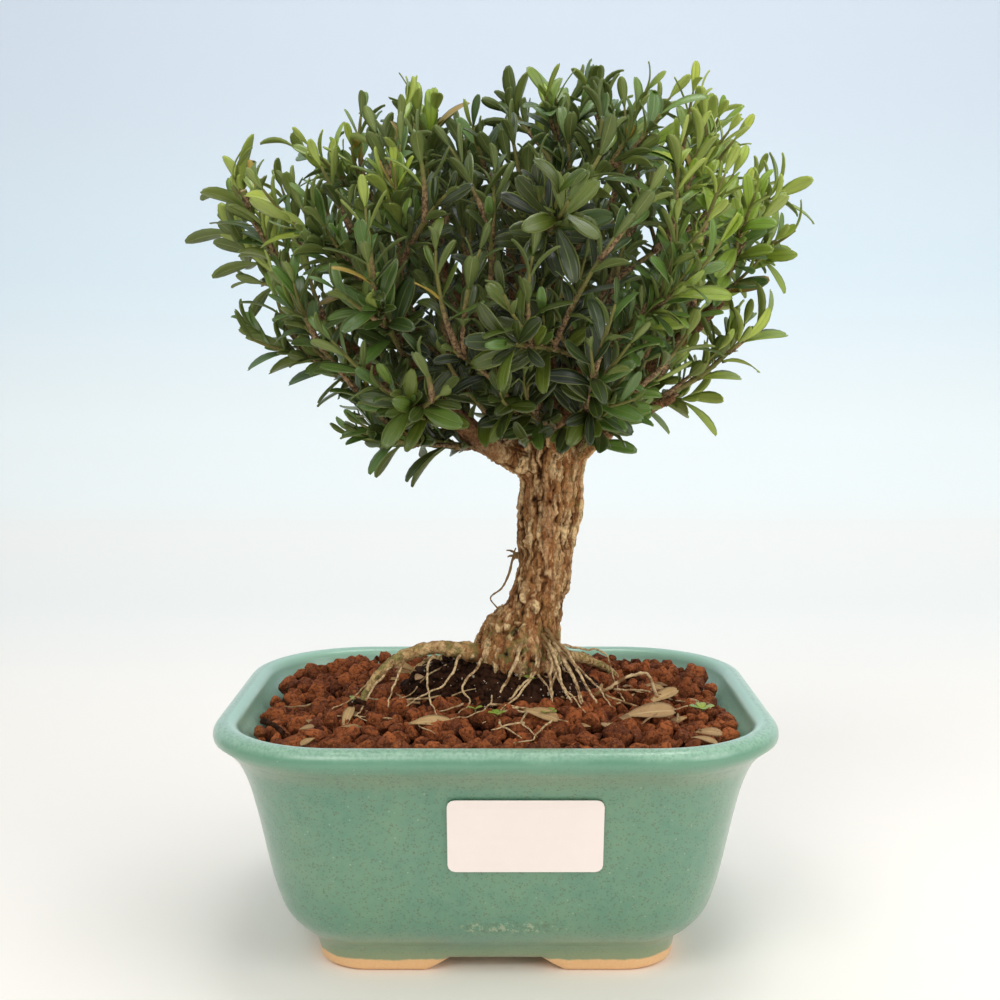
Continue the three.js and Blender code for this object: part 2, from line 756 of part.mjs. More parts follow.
// One leafy shoot, with its leaves bent clear of all that was placed before it
function growShoot(shoot, tip, wood, placed) {
  const stem = findStem(shoot, tip, wood, placed.slice(1));
  if (!stem) return null;
  const { rings, bare } = stem;
  const near = [...placed, { made: bare, box: bare.boundingBox() }];
  const grown = new Map();
  for (const { patch, along, key, slot, last } of leafPatches(rings)) {
    const size = LEAF_SIZE.least + LEAF_SIZE.more * chance(shoot, key, 22) - (last ? LEAF_SIZE.lastLess : 0);
    const rise = last ? 90 : LEAF.rise + 12 * spread(shoot, key, 23);
    for (const bend of BENDS) {
      const leaf = bladeRings(patch, along, bend, rise, LEAF.length * size, LEAF.width * size);
      const made = loft(leaf);
      if (!clearOf(made, near)) continue;
      near.push({ made, box: made.boundingBox() });
      grown.set(slot, leaf);
      break;
    }
  }
  if (grown.size < FEWEST_LEAVES) return null;
  const patches = sleeve(rings).filter((_, i) => !grown.has(i));
  patches.push([...rings[0]].reverse());
  if (!grown.has(-1)) patches.push(rings[rings.length - 1]);
  for (const leaf of grown.values()) patches.push(...sleeve(leaf), leaf[leaf.length - 1]);
  return patchwork(patches).subtract(wood);
}

function makeShoots(wood) {
  const placed = [{ made: wood, box: wood.boundingBox() }];
  const ends = [];
  const meshes = [];
  shootTips().forEach((tip, shoot) => {
    if (meshes.length === SHOOTS || ends.some((end) => end.distanceTo(tip) < TIP_SPACING)) return;
    const made = growShoot(shoot, tip, wood, placed);
    if (!made) return;
    ends.push(tip);
    placed.push({ made, box: made.boundingBox() });
    meshes.push(meshOf("shoot_" + String(meshes.length + 1).padStart(2, "0"), made, materials.leaf));
  });
  return meshes;
}

// Dry leaves lie on the tops of the lumps
function makeFallen(others) {
  return FALLEN.map(([x, y, turn, length], i) => {
    const along = new THREE.Vector3(1, 0, 0).applyAxisAngle(new THREE.Vector3(0, 0, 1), radians(turn));
    const side = new THREE.Vector3(0, 0, 1).cross(along);
    const half = LEAF.thick / 2;
    let z = heapHeight(x, y);
    let made = null;
    do {
      z += 0.1;
      const root = new THREE.Vector3(x, y, z).addScaledVector(along, -length / 2);
      const corner = (across, up) => root.clone().addScaledVector(side, across).setZ(z + up);
      const patch = [corner(0.5, -half), corner(-0.5, -half), corner(-0.5, half), corner(0.5, half)];
      made = loft(bladeRings(patch, new THREE.Vector3(0, 0, 1), [0, 0], 90, length, length * 0.42));
    } while (!clearOf(made, others));
    return meshOf("fallen_leaf_" + (i + 1), made.translate([0, 0, GAP / 2]), materials.dry_leaf);
  });
}

const bonsai = new THREE.Group();
const grownWood = treeWood(GAP);
const wood = treeWood(0);
const ball = rootBall(0).subtract(grownWood);
const soil = makeSoil(grownWood);
bonsai.add(makePot());
bonsai.add(makeLabel());
bonsai.add(meshOf("granules", soil, materials.granules));
bonsai.add(meshOf("root_ball", ball, materials.dark_soil));
bonsai.add(meshOf("tree", wood, materials.bark));
for (const shoot of makeShoots(grownWood)) bonsai.add(shoot);
const bed = [soil, ball, wood].map((made) => ({ made, box: made.boundingBox() }));
for (const leaf of makeFallen(bed)) bonsai.add(leaf);

// The origin goes under the middle of the outer box
const middle = new THREE.Box3().setFromObject(bonsai).getCenter(new THREE.Vector3());
bonsai.position.set(-middle.x, -middle.y, 0);

export default bonsai;
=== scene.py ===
"""Looks of the Harland boxwood bonsai in its glazed pot. Sizes here are in millimetres about the
middle of the pot, as in the part's own source, and become metres in the model's frame at the end."""

import math

import bmesh
import bpy
import numpy as np
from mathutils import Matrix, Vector


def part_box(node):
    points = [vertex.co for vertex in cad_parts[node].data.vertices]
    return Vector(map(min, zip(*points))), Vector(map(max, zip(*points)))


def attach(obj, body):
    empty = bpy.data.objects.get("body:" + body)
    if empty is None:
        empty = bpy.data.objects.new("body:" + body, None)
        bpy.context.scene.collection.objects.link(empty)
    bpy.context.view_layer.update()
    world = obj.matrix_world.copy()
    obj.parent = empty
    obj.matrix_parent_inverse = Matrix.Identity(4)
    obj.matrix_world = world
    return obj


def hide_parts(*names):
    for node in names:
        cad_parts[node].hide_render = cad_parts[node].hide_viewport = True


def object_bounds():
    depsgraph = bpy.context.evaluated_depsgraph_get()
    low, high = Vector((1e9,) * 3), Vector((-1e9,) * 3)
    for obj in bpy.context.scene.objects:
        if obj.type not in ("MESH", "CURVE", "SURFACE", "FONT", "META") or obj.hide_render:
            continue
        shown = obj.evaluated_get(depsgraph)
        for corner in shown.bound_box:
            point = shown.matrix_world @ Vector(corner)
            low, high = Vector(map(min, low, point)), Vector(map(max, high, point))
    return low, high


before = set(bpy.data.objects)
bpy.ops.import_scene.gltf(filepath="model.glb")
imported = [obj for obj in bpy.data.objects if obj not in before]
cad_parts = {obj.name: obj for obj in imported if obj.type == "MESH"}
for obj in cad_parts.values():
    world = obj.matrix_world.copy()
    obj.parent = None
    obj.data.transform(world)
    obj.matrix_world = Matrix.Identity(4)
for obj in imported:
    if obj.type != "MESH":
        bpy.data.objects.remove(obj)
CAD_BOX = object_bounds()
BODY = "root"
pot_low, pot_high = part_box("pot")
SHIFT = np.array([(pot_low.x + pot_high.x) * 500, (pot_low.y + pot_high.y) * 500, 0.0])
BOX_LOW = np.array(CAD_BOX[0]) * 1000 - SHIFT
BOX_HIGH = np.array(CAD_BOX[1]) * 1000 - SHIFT

# The camera stands where the photographer's did
CAMERA_PLACE = (1.1, -392.5, 165.5)
CAMERA_PITCH = 6.25
LENS, SENSOR = 50.4, 36

# Pot, as in the part
DEPTH_LESS = 13.0
RIM_HALF_WIDTH, FOOT_HALF_WIDTH = 75.0, 48.4
RIM_CORNER, FOOT_CORNER = 35.0, 14.0
# The walls from foot to lip: height and half width
OUTER_WALL = [
    (0, 48), (7, 49.6), (10.5, 53.4), (15, 57), (22.6, 59.8), (42, 64), (51, 66.3), (57, 68.8), (60.4, 71.4),
]
INNER_WALL = [(63.6, 68.2), (60.5, 65.6), (57, 63.6), (38, 58.4), (15, 52), (10, 47.8)]
LIP_HEIGHT, LIP_RADIUS = 64.4, 3.3
FLOOR_TOP, FLOOR_UNDER = 9.0, 3.4
FOOT_RING = 9.0
NOTCH_TOP, NOTCH_FOOT = 25.3, 35.5
NOTCH_SIDE_SHARE = 0.62
DRAIN_RADIUS, DRAIN_OFFSET = 6.0, 22.0

# Soil, as in the part
HEAP_EDGE, HEAP_RISE, HEAP_REACH, HEAP_X = 62.4, 6.2, 44.0, 2.0
BALL_X, BALL_Y, BALL_LOW, BALL_TOP, BALL_DEPTH = 1.0, 0.5, 30.0, 79.0, 0.72
# The ball of old soil: share of its height, and radius
BALL_RINGS = [(0, 22), (0.45, 31), (0.72, 30), (0.86, 24), (0.95, 15), (1.0, 4.0)]
# Where the dark soil meets the air: distance from the ball's middle and height
PEAT_SLOPE = [(15, 76.7), (24, 72.3), (30, 66.0), (31.5, 60.0)]

# Granules: the step between them, their sizes, how many small ones and crumbs there are, how many
# kinds of stone are shaped, how far the bed lies under them and how much higher they lie at the back
GRANULE_STEP = 5.3
GRANULE_SIZES, SMALL_SIZES = (1.7, 3.3), (0.7, 1.7)
SMALL_GRANULES, SOIL_CRUMBS = 560, 520
STONE_KINDS = 9
BED_DROP = 3.2
BACK_RISE = 2.0

# Wood, as in the part. The trunk: height, the middle's x and y, and radius
TRUNK = [
    (60, 7, 0.5, 8), (70, 6.2, 0.3, 12), (78, 6.0, 0, 12.8), (83, 7.2, 0, 11.3), (88, 9.8, 0, 8.9),
    (91, 11.0, 0, 7.9), (94, 11.8, 0, 7.7), (99, 12.9, 0.1, 7.8), (104, 13.6, 0.2, 7.9),
    (111, 14.2, 0.5, 8.3), (121, 15.2, 0.8, 8.6), (128, 15.6, 1, 9.2), (134, 15, 1.2, 10.2),
    (139, 15.4, 1.2, 9.4), (144, 15.8, 1.2, 6),
]
# Limbs and surface roots: the points of a path, and the radius at both ends
LIMBS = [
    ([(12, 0, 129), (5, -3, 133), (-11, -5, 142.5), (-28, -9, 155.5), (-46, -12, 171), (-56, -13, 182)],
     (2.9, 1.1)),
    ([(12, -3, 131), (1, -8, 137), (-15, -18, 151), (-23.5, -28, 164.5), (-24, -33, 179)], (3.8, 1.2)),
    ([(16, 0, 129), (22, -3, 135.5), (34, -6, 144), (49, -9, 152)], (3.8, 1.2)),
    ([(14, 1, 131), (9, 2, 140), (1, 4, 159), (-11.5, 4, 181), (-18, 4, 196)], (4.4, 1.1)),
    ([(15, 0, 133), (13.6, -1, 150), (14, -2, 165), (17.5, -4, 191), (22, -4, 208)], (4.6, 1.1)),
    ([(16, 1, 131), (20, 4, 142), (30, 8, 161), (45, 12, 181), (53, 13, 195)], (4.4, 1.1)),
    ([(17, 1, 130), (24, 1, 140), (40, 3, 156), (58, 5, 173), (66, 6, 182)], (4.2, 1.1)),
    ([(16, -3, 131), (18, -13, 144), (22, -26, 157), (27, -36, 172)], (3.4, 1.1)),
    ([(16, 4, 130), (20, 16, 145), (24, 30, 158), (27, 41, 172)], (3.8, 1.1)),
    ([(12, 4, 131), (-1, 15, 147), (-14, 27, 160), (-26, 37, 173)], (3.6, 1.1)),
    ([(14, 4, 133), (10, 14, 155), (6, 24, 176), (4, 31, 195)], (3.4, 1.1)),
    ([(18, 3, 131), (31, 13, 146), (44, 24, 159), (54, 32, 173)], (3.4, 1.1)),
    ([(14, -3, 133), (11, -12, 155), (8, -22, 177), (8, -29, 197)], (3.2, 1.1)),
]
ROOTS = [
    ([(3, -3, 77), (-9, -6, 80.6), (-21, -9, 81.4), (-31, -12, 77), (-38, -15, 67)], (2.9, 0.8)),
    ([(-1, 2, 77), (-12, 8, 75), (-22, 15, 71), (-30, 21, 62)], (3, 1)),
    ([(14, 3, 77), (24, 10, 75), (33, 17, 70), (40, 23, 61)], (2.2, 0.8)),
    ([(8, 8, 78), (10, 18, 75), (11, 28, 68), (12, 35, 61)], (3.6, 1.1)),
]
# Thin pale roots that fan out to the front right
FAN_ROOTS = [
    ([(8, -7, 86), (6.5, -12, 82.5), (4.5, -14.5, 78), (1.5, -17, 73.5), (-1.5, -20, 68)], (0.72, 0.32)),
    ([(13, -4, 88), (17, -9, 83.5), (20, -13.5, 78.5), (22.5, -18, 73.5), (24, -21, 69)], (0.75, 0.32)),
    ([(11, -4, 87), (15.5, -10, 82.5), (17.5, -14, 77.5), (19.5, -18, 72.5), (21, -21, 69)], (0.6, 0.26)),
    ([(11, -5, 85), (14.5, -11.5, 80.5), (15.3, -14.5, 76.5), (14.6, -17.5, 72), (14, -20, 68.5)],
     (0.55, 0.28)),
    ([(10, -6, 84), (11, -12.5, 80), (9.5, -15.5, 77), (6.5, -18.5, 73), (3, -21, 69)], (0.45, 0.24)),
    ([(26, -12, 68.5), (31, -11, 71.5), (37, -9, 74.5), (42, -8, 75), (45, -8, 69)], (0.5, 0.45)),
    ([(13, -5, 86), (18.5, -11, 81.5), (21, -15, 77), (23.5, -19, 72), (25.5, -22, 68)], (0.5, 0.25)),
]
# Finer roots and forks: their paths, from the thick end
ROOTLETS = [
    [(-28, -11, 78.5), (-33, -17, 73), (-36, -21, 68), (-38, -24, 65)],
    [(-31, -12, 76), (-37, -13, 71), (-42, -13, 66.5), (-46, -14, 65)],
    [(-25, -10, 80), (-28, -18, 73), (-29, -22, 69)],
    [(-17, -8, 80.5), (-19, -13, 78), (-18.5, -20, 73), (-17, -25, 69.5), (-15, -29, 67)],
    [(15, -12, 79), (17, -17, 74), (21, -21, 70), (24, -23, 68)],
    [(12, -8, 80), (11, -14, 77), (7, -20, 72), (3, -24, 69), (-2, -29, 66.5)],
    [(16, -7, 80), (17, -13, 76.5), (15.5, -18, 72), (16, -22, 68)],
    [(20, -14, 77.5), (22.5, -17, 74), (23, -20, 71), (24, -22, 69)],
    [(18, -9, 81), (23, -13, 77), (28, -17, 71.5), (31, -20, 68)],
    [(17, -4, 82), (24, -5, 80.5), (30, -4, 79), (33, -4, 70)],
    [(-4, -9, 79), (-6, -15, 76), (-9, -20, 72.5), (-7, -25, 69), (-10, -29, 66.5)],
    [(-10, -7, 80), (-11, -13, 77), (-14, -18, 73.5), (-20, -20, 71), (-24, -22, 68)],
    [(30, -14, 70), (37, -16, 67), (44, -17, 66), (52, -15, 66)],
    [(33, -8, 70), (41, -4, 69), (49, -4, 66), (54, -6, 65.5)],
]
# A dead twig on the trunk's left side, and where its tuft of short ends grows
DEAD_TWIG = [
    (8.5, -1, 107), (5.4, -2.5, 107.5), (3.6, -3.4, 102), (1.6, -3.6, 98),
    (-1.6, -3.8, 95.2), (0.4, -4.6, 92.4),
]
DEAD_TUFT = (5.8, -2.6, 107.0)
# Crown outline seen from the front, as in the part: the way from its middle in degrees, and the reach
CROWN_MIDDLE = np.array([6.7, 0.0, 170.0])
CROWN_DEPTH = 64.0
CROWN_REACH = [
    (-90, 33), (-60, 40), (-30, 50), (-10, 57), (5, 68), (24, 86), (38, 91), (50, 95), (62, 86), (75, 77),
    (88, 72), (98, 67), (108, 71), (120, 87), (127, 85), (135, 79), (148, 92), (165, 92), (180, 78),
    (200, 68), (212, 60), (225, 46), (250, 35), (270, 33),
]

# Where the youngest, brightest tips are, seen from the front
BRIGHT_TIPS = [
    (-18, 234), (-47, 222), (15, 239), (-27, 210), (-72, 216), (54, 210), (75, 219), (58, 236), (-62, 200),
]

# Leaves of the part: their thickness and the shares of width and length at their three stations
BLADE_THICK = 0.64
BLADE_SHARES = (0.42, 0.66)
BLADE_ARCH = 0.09

# Dry leaves on the ground, as in the part: [x, y, turn in degrees, length]
FALLEN = [
    (-17, -33, 8, 12), (12, -30, -25, 10), (41, -27, 14, 15), (-40, -24, 80, 9), (47, -6, 40, 11),
    (33, 33, -60, 12), (-30, 36, 20, 13),
]

# Seedlings on the soil: [x, y, size]
SEEDLINGS = [
    (-0.5, -31, 2.4), (14.5, -30, 2.6), (-5.5, -27, 2.0), (56, -20, 3.6), (-40, -12, 1.8), (9, -15, 2.0),
]

# Twigs that fill the crown: how many places are tried, and how near another leaf may be
FILL_TRIES = 3600
FILL_CLEAR = 7.1
# How far such a twig reaches at most, how far back from its tip it looks for wood, and the space by
# the trunk that stays open: its top, its middle's x and its radius
FILL_REACH, FILL_BACK = 42, 20
OPEN_TOP, OPEN_X, OPEN_RADIUS = 146, 15, 24

# A leafy twig: the rise of its leaves from the twig in degrees, their share of the full length and
# how young they look, for the pairs from the tip down
PAIR_RISES = (19, 35, 52, 64)
PAIR_SHARES = (0.62, 0.82, 0.94, 1.0)
PAIR_YOUTH = (1.0, 0.9, 0.6, 0.4)
# Most pairs on a twig, how near a leaf that is there keeps a new pair away, and the share of lost leaves
MOST_PAIRS, PAIR_CLEAR, LOST_LEAVES = 9, 2.6, 0.05

# The mesh of the wood before its bark is raised, and how much a thin root strays from step to step
WOOD_MESH = 0.74
ROOT_STRAY = 0.15


# Draws, noise and tables

def draws(seed):
    return np.random.default_rng(seed)


def unit(vector):
    return vector / max(np.linalg.norm(vector), 1e-9)


def smooth_step(value, low, high):
    t = np.clip((value - low) / (high - low), 0, 1)
    return t * t * (3 - 2 * t)


def read_table(table, at, column=1):
    """A column's value between the rows of a table, by the table's first column."""
    return np.interp(at, [row[0] for row in table], [row[column] for row in table])


def hashed(cells, seed):
    """One draw from 0 to 1 for each row of whole numbers."""
    h = np.full(len(cells), seed * 2654435761 % 2**32, np.uint64)
    for column in cells.T.astype(np.int64):
        h = (h ^ (column & 0xFFFFFFFF).astype(np.uint64)) * np.uint64(0x9E3779B1) & np.uint64(0xFFFFFFFF)
        h = (h ^ (h >> np.uint64(15))) * np.uint64(0x85EBCA6B) & np.uint64(0xFFFFFFFF)
        h = h ^ (h >> np.uint64(13))
    return h.astype(float) / 2**32


def soft_noise(points, size, seed):
    """Smooth noise from -1 to 1 with lumps of about the given size."""
    p = points / size
    base = np.floor(p)
    f = p - base
    f = f * f * (3 - 2 * f)
    total = np.zeros(len(p))
    for corner in np.ndindex(2, 2, 2):
        weight = np.prod(np.where(np.array(corner) == 1, f, 1 - f), axis=1)
        total += weight * hashed(base + corner, seed)
    return 2 * total - 1


def flakes(points, size, seed):
    """Distance to the nearest flake's border, 0 in the cracks between flakes, and a tone for each flake."""
    p = points / size
    base = np.floor(p)
    near = np.full((len(p), 2), 9.0)
    tone = np.zeros(len(p))
    for offset in np.ndindex(3, 3, 3):
        cell = base + np.array(offset) - 1
        heart = cell + np.stack([hashed(cell, seed + k) for k in range(3)], axis=1)
        away = np.linalg.norm(p - heart, axis=1)
        closer = away < near[:, 0]
        near[:, 1] = np.where(closer, near[:, 0], np.minimum(near[:, 1], away))
        near[:, 0] = np.where(closer, away, near[:, 0])
        tone = np.where(closer, hashed(cell, seed + 9), tone)
    return near[:, 1] - near[:, 0], tone


# Meshes

def write_values(mesh, values):
    """Values that belong to each point, for the materials to read."""
    for key, numbers in values.items():
        layer = mesh.attributes.new(key, "FLOAT", "POINT")
        layer.data.foreach_set("value", np.asarray(numbers, np.float32))


def read_points(mesh):
    """A mesh's points in millimetres."""
    points = np.empty(len(mesh.vertices) * 3)
    mesh.vertices.foreach_get("co", points)
    return points.reshape(-1, 3) * 1000 - SHIFT


def make_piece(name, points, faces, materials, face_materials=None, values=None, smooth=True):
    """A mesh object from points in millimetres."""
    mesh = bpy.data.meshes.new(name)
    mesh.from_pydata(((np.asarray(points, float) + SHIFT) / 1000).tolist(), [], faces)
    for material in materials:
        mesh.materials.append(material)
    if face_materials is not None:
        mesh.polygons.foreach_set("material_index", np.asarray(face_materials, np.int32))
    mesh.polygons.foreach_set("use_smooth", np.full(len(mesh.polygons), smooth))
    write_values(mesh, values or {})
    mesh.update()
    made = bpy.data.objects.new(name, mesh)
    bpy.context.scene.collection.objects.link(made)
    return made


def place(piece, slot, *nodes):
    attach(piece, BODY)
    if nodes:
        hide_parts(*nodes)


def closed_faces(rings, around):
    """Faces between rings that follow each other, with a cap over the first and the last ring."""
    faces = []
    for r in range(rings - 1):
        a = r * around
        for i in range(around):
            j = (i + 1) % around
            faces.append((a + i, a + j, a + around + j, a + around + i))
    faces.append(tuple(reversed(range(around))))
    faces.append(tuple((rings - 1) * around + i for i in range(around)))
    return faces


def bake_modifiers(piece):
    graph = bpy.context.evaluated_depsgraph_get()
    done = bpy.data.meshes.new_from_object(piece.evaluated_get(graph), depsgraph=graph)
    piece.modifiers.clear()
    piece.data = done
    return piece


class Pile:
    """Points, faces and their values, gathered from many small shapes into one mesh."""

    def __init__(self):
        self.points, self.faces, self.slots, self.values, self.count = [], [], [], {}, 0

    def add(self, points, faces, slot=0, **values):
        self.points.append(points)
        self.faces.extend(tuple(int(i) + self.count for i in face) for face in faces)
        self.slots.extend([slot] * len(faces) if np.isscalar(slot) else slot)
        for key, numbers in values.items():
            self.values.setdefault(key, []).append(np.broadcast_to(numbers, len(points)))
        self.count += len(points)

    def piece(self, name, materials, smooth=True):
        values = {key: np.concatenate(parts) for key, parts in self.values.items()}
        points = np.concatenate(self.points)
        return make_piece(name, points, self.faces, materials, self.slots, values, smooth)


# Curves

def catmull(points, count):
    """Points along a smooth path through the given ones, as the part draws it."""
    p = np.array(points, float)
    p = np.vstack([2 * p[0] - p[1], p, 2 * p[-1] - p[-2]])
    last = len(points) - 1
    out = []
    for share in np.linspace(0, last, count):
        i = min(int(share), last - 1)
        t = share - i
        q = p[i : i + 4]
        d = [max(np.linalg.norm(q[k + 1] - q[k]) ** 0.5, 1e-4) for k in range(3)]
        a = (q[1] - q[0]) / d[0] - (q[2] - q[0]) / (d[0] + d[1]) + (q[2] - q[1]) / d[1]
        b = (q[2] - q[1]) / d[1] - (q[3] - q[1]) / (d[1] + d[2]) + (q[3] - q[2]) / d[2]
        a, b = a * d[1], b * d[1]
        c2 = -3 * q[1] + 3 * q[2] - 2 * a - b
        c3 = 2 * q[1] - 2 * q[2] + a + b
        out.append(q[1] + a * t + c2 * t * t + c3 * t**3)
    return np.array(out)


def frames_along(path):
    """Unit directions and two steady cross directions along a path."""
    along = np.gradient(path, axis=0)
    along /= np.linalg.norm(along, axis=1)[:, None]
    up = np.array([0.13, 0.21, 1.0])
    if abs(along[0] @ up) > 0.9 * np.linalg.norm(up):
        up = np.array([0.2, 1.0, 0.1])
    ups = []
    for direction in along:
        up = up - (up @ direction) * direction
        up = up / np.linalg.norm(up)
        ups.append(up)
    ups = np.array(ups)
    return along, ups, np.cross(along, ups)


def tube_points(path, radii, sides):
    _, up, across = frames_along(path)
    angles = 2 * np.pi * np.arange(sides) / sides
    ring = np.cos(angles)[None, :, None] * up[:, None] + np.sin(angles)[None, :, None] * across[:, None]
    return (path[:, None] + ring * np.asarray(radii, float)[:, None, None]).reshape(-1, 3)


def add_tube(pile, path, radii, sides, slot=0, **values):
    pile.add(tube_points(path, radii, sides), closed_faces(len(path), sides), slot, **values)


# Materials

class Graph:
    """Short calls that add shader nodes to a material or a group."""

    def __init__(self, tree):
        self.tree = tree

    def node(self, kind, inputs=None, **settings):
        made = self.tree.nodes.new("ShaderNode" + kind)
        for key, value in settings.items():
            setattr(made, key, value)
        for key, value in (inputs or {}).items():
            self.feed(made.inputs[key], value)
        return made

    def feed(self, socket, value):
        if isinstance(value, bpy.types.NodeSocket):
            self.tree.links.new(value, socket)
        elif socket.type == "RGBA" and len(value) == 3:
            socket.default_value = (*value, 1)
        else:
            socket.default_value = value

    def math(self, operation, a, b=0.0):
        return self.node("Math", {0: a, 1: b}, operation=operation).outputs[0]

    def times(self, a, b):
        return self.math("MULTIPLY", a, b)

    def span(self, value, low, high, to_low=0.0, to_high=1.0):
        inputs = {"Value": value, "From Min": low, "From Max": high, "To Min": to_low, "To Max": to_high}
        return self.node("MapRange", inputs, interpolation_type="SMOOTHSTEP").outputs[0]

    def mix(self, share, a, b):
        made = self.node("Mix", data_type="RGBA")
        for index, value in ((0, share), (6, a), (7, b)):
            self.feed(made.inputs[index], value)
        return made.outputs[2]

    def between(self, share, low, high):
        """From one tone to another, both as a picture shows them."""
        return self.mix(share, linear(*low), linear(*high))

    def stain(self, colour, mask, tone, strength=None):
        """The colour with a tone laid over it where the mask is."""
        share = mask if strength is None else self.times(mask, strength)
        return self.mix(share, colour, linear(*tone))

    def noise(self, where, size, detail=2.0, rough=0.5):
        """Noise with lumps of about the given size in millimetres."""
        inputs = {"Vector": where, "Scale": 1000.0 / size, "Detail": detail, "Roughness": rough}
        return self.node("TexNoise", inputs).outputs[0]

    def cells(self, where, size):
        """Distance to the middle of the nearest cell."""
        return self.node("TexVoronoi", {"Vector": where, "Scale": 1000.0 / size}).outputs["Distance"]

    def place(self):
        return self.node("TexCoord").outputs["Object"]

    def value(self, name):
        return self.node("Attribute", attribute_name=name).outputs["Fac"]

    def bump(self, height, distance, strength=1.0):
        inputs = {"Height": height, "Distance": distance / 1000, "Strength": strength}
        return self.node("Bump", inputs).outputs[0]

    def group(self, group, inputs):
        made = self.tree.nodes.new("ShaderNodeGroup")
        made.node_tree = group
        for key, value in inputs.items():
            self.feed(made.inputs[key], value)
        return made.outputs


def linear(red, green, blue):
    """A colour as a picture shows it, from 0 to 255, in scene-linear values."""
    return tuple(((c / 255 + 0.055) / 1.055) ** 2.4 if c > 10 else c / 3295 for c in (red, green, blue))


def new_group(name, inputs, outputs, build):
    tree = bpy.data.node_groups.new(name, "ShaderNodeTree")
    for label, default in inputs.items():
        socket = tree.interface.new_socket(label, in_out="INPUT", socket_type="NodeSocketFloat")
        socket.default_value = default
    for label, kind in outputs.items():
        tree.interface.new_socket(label, in_out="OUTPUT", socket_type=kind)
    graph = Graph(tree)
    entry = tree.nodes.new("NodeGroupInput")
    leave = tree.nodes.new("NodeGroupOutput")
    for label, socket in build(graph, entry.outputs).items():
        tree.links.new(socket, leave.inputs[label])
    return tree


def build_mottle(graph, entry):
    """Patches of two sizes that blend into each other."""
    scale = graph.math("DIVIDE", 1000.0, entry["Size"])
    fine = graph.times(scale, 5.3)
    where = graph.place()
    broad = graph.node("TexNoise", {"Vector": where, "Scale": scale, "Detail": 3.0}).outputs[0]
    small = graph.node("TexNoise", {"Vector": where, "Scale": fine, "Detail": 3.0}).outputs[0]
    both = graph.math("ADD", graph.times(broad, 0.65), graph.times(small, 0.35))
    return {"Value": graph.span(both, graph.math("SUBTRACT", 0.5, entry["Softness"]),
                                graph.math("ADD", 0.5, entry["Softness"]))}


def build_grit(graph, entry):
    """Crumbly pits and grains, as height and as a mask of the pits."""
    scale = graph.math("DIVIDE", 1000.0, entry["Size"])
    where = graph.place()
    spread = {"Vector": where, "Scale": scale}
    grains = graph.node("TexVoronoi", spread, feature="SMOOTH_F1").outputs["Distance"]
    rough = graph.node("TexNoise", {**spread, "Detail": 6.0, "Roughness": 0.7}).outputs[0]
    height = graph.math("ADD", graph.times(grains, -0.6), rough)
    return {"Height": height, "Pits": graph.span(height, 0.28, 0.1)}


mottle = new_group("mottle", {"Size": 10.0, "Softness": 0.12}, {"Value": "NodeSocketFloat"}, build_mottle)
grit = new_group(
    "grit", {"Size": 1.0}, {"Height": "NodeSocketFloat", "Pits": "NodeSocketFloat"}, build_grit
)


def new_material(name, build, **constants):
    """A material whose build function returns what feeds the Principled shader."""
    material = bpy.data.materials.new(name)
    material.use_nodes = True
    tree = material.node_tree
    tree.nodes.clear()
    graph = Graph(tree)
    shader = graph.node("BsdfPrincipled")
    output = graph.node("OutputMaterial")
    tree.links.new(shader.outputs[0], output.inputs["Surface"])
    for label, value in {**build(graph), **constants}.items():
        graph.feed(shader.inputs[label], value)
    return material


def place_in_mm(graph):
    """The place's x, y and height above the table, in millimetres."""
    split = graph.node("SeparateXYZ", {0: graph.place()}).outputs
    return [graph.times(axis, 1000.0) for axis in split]


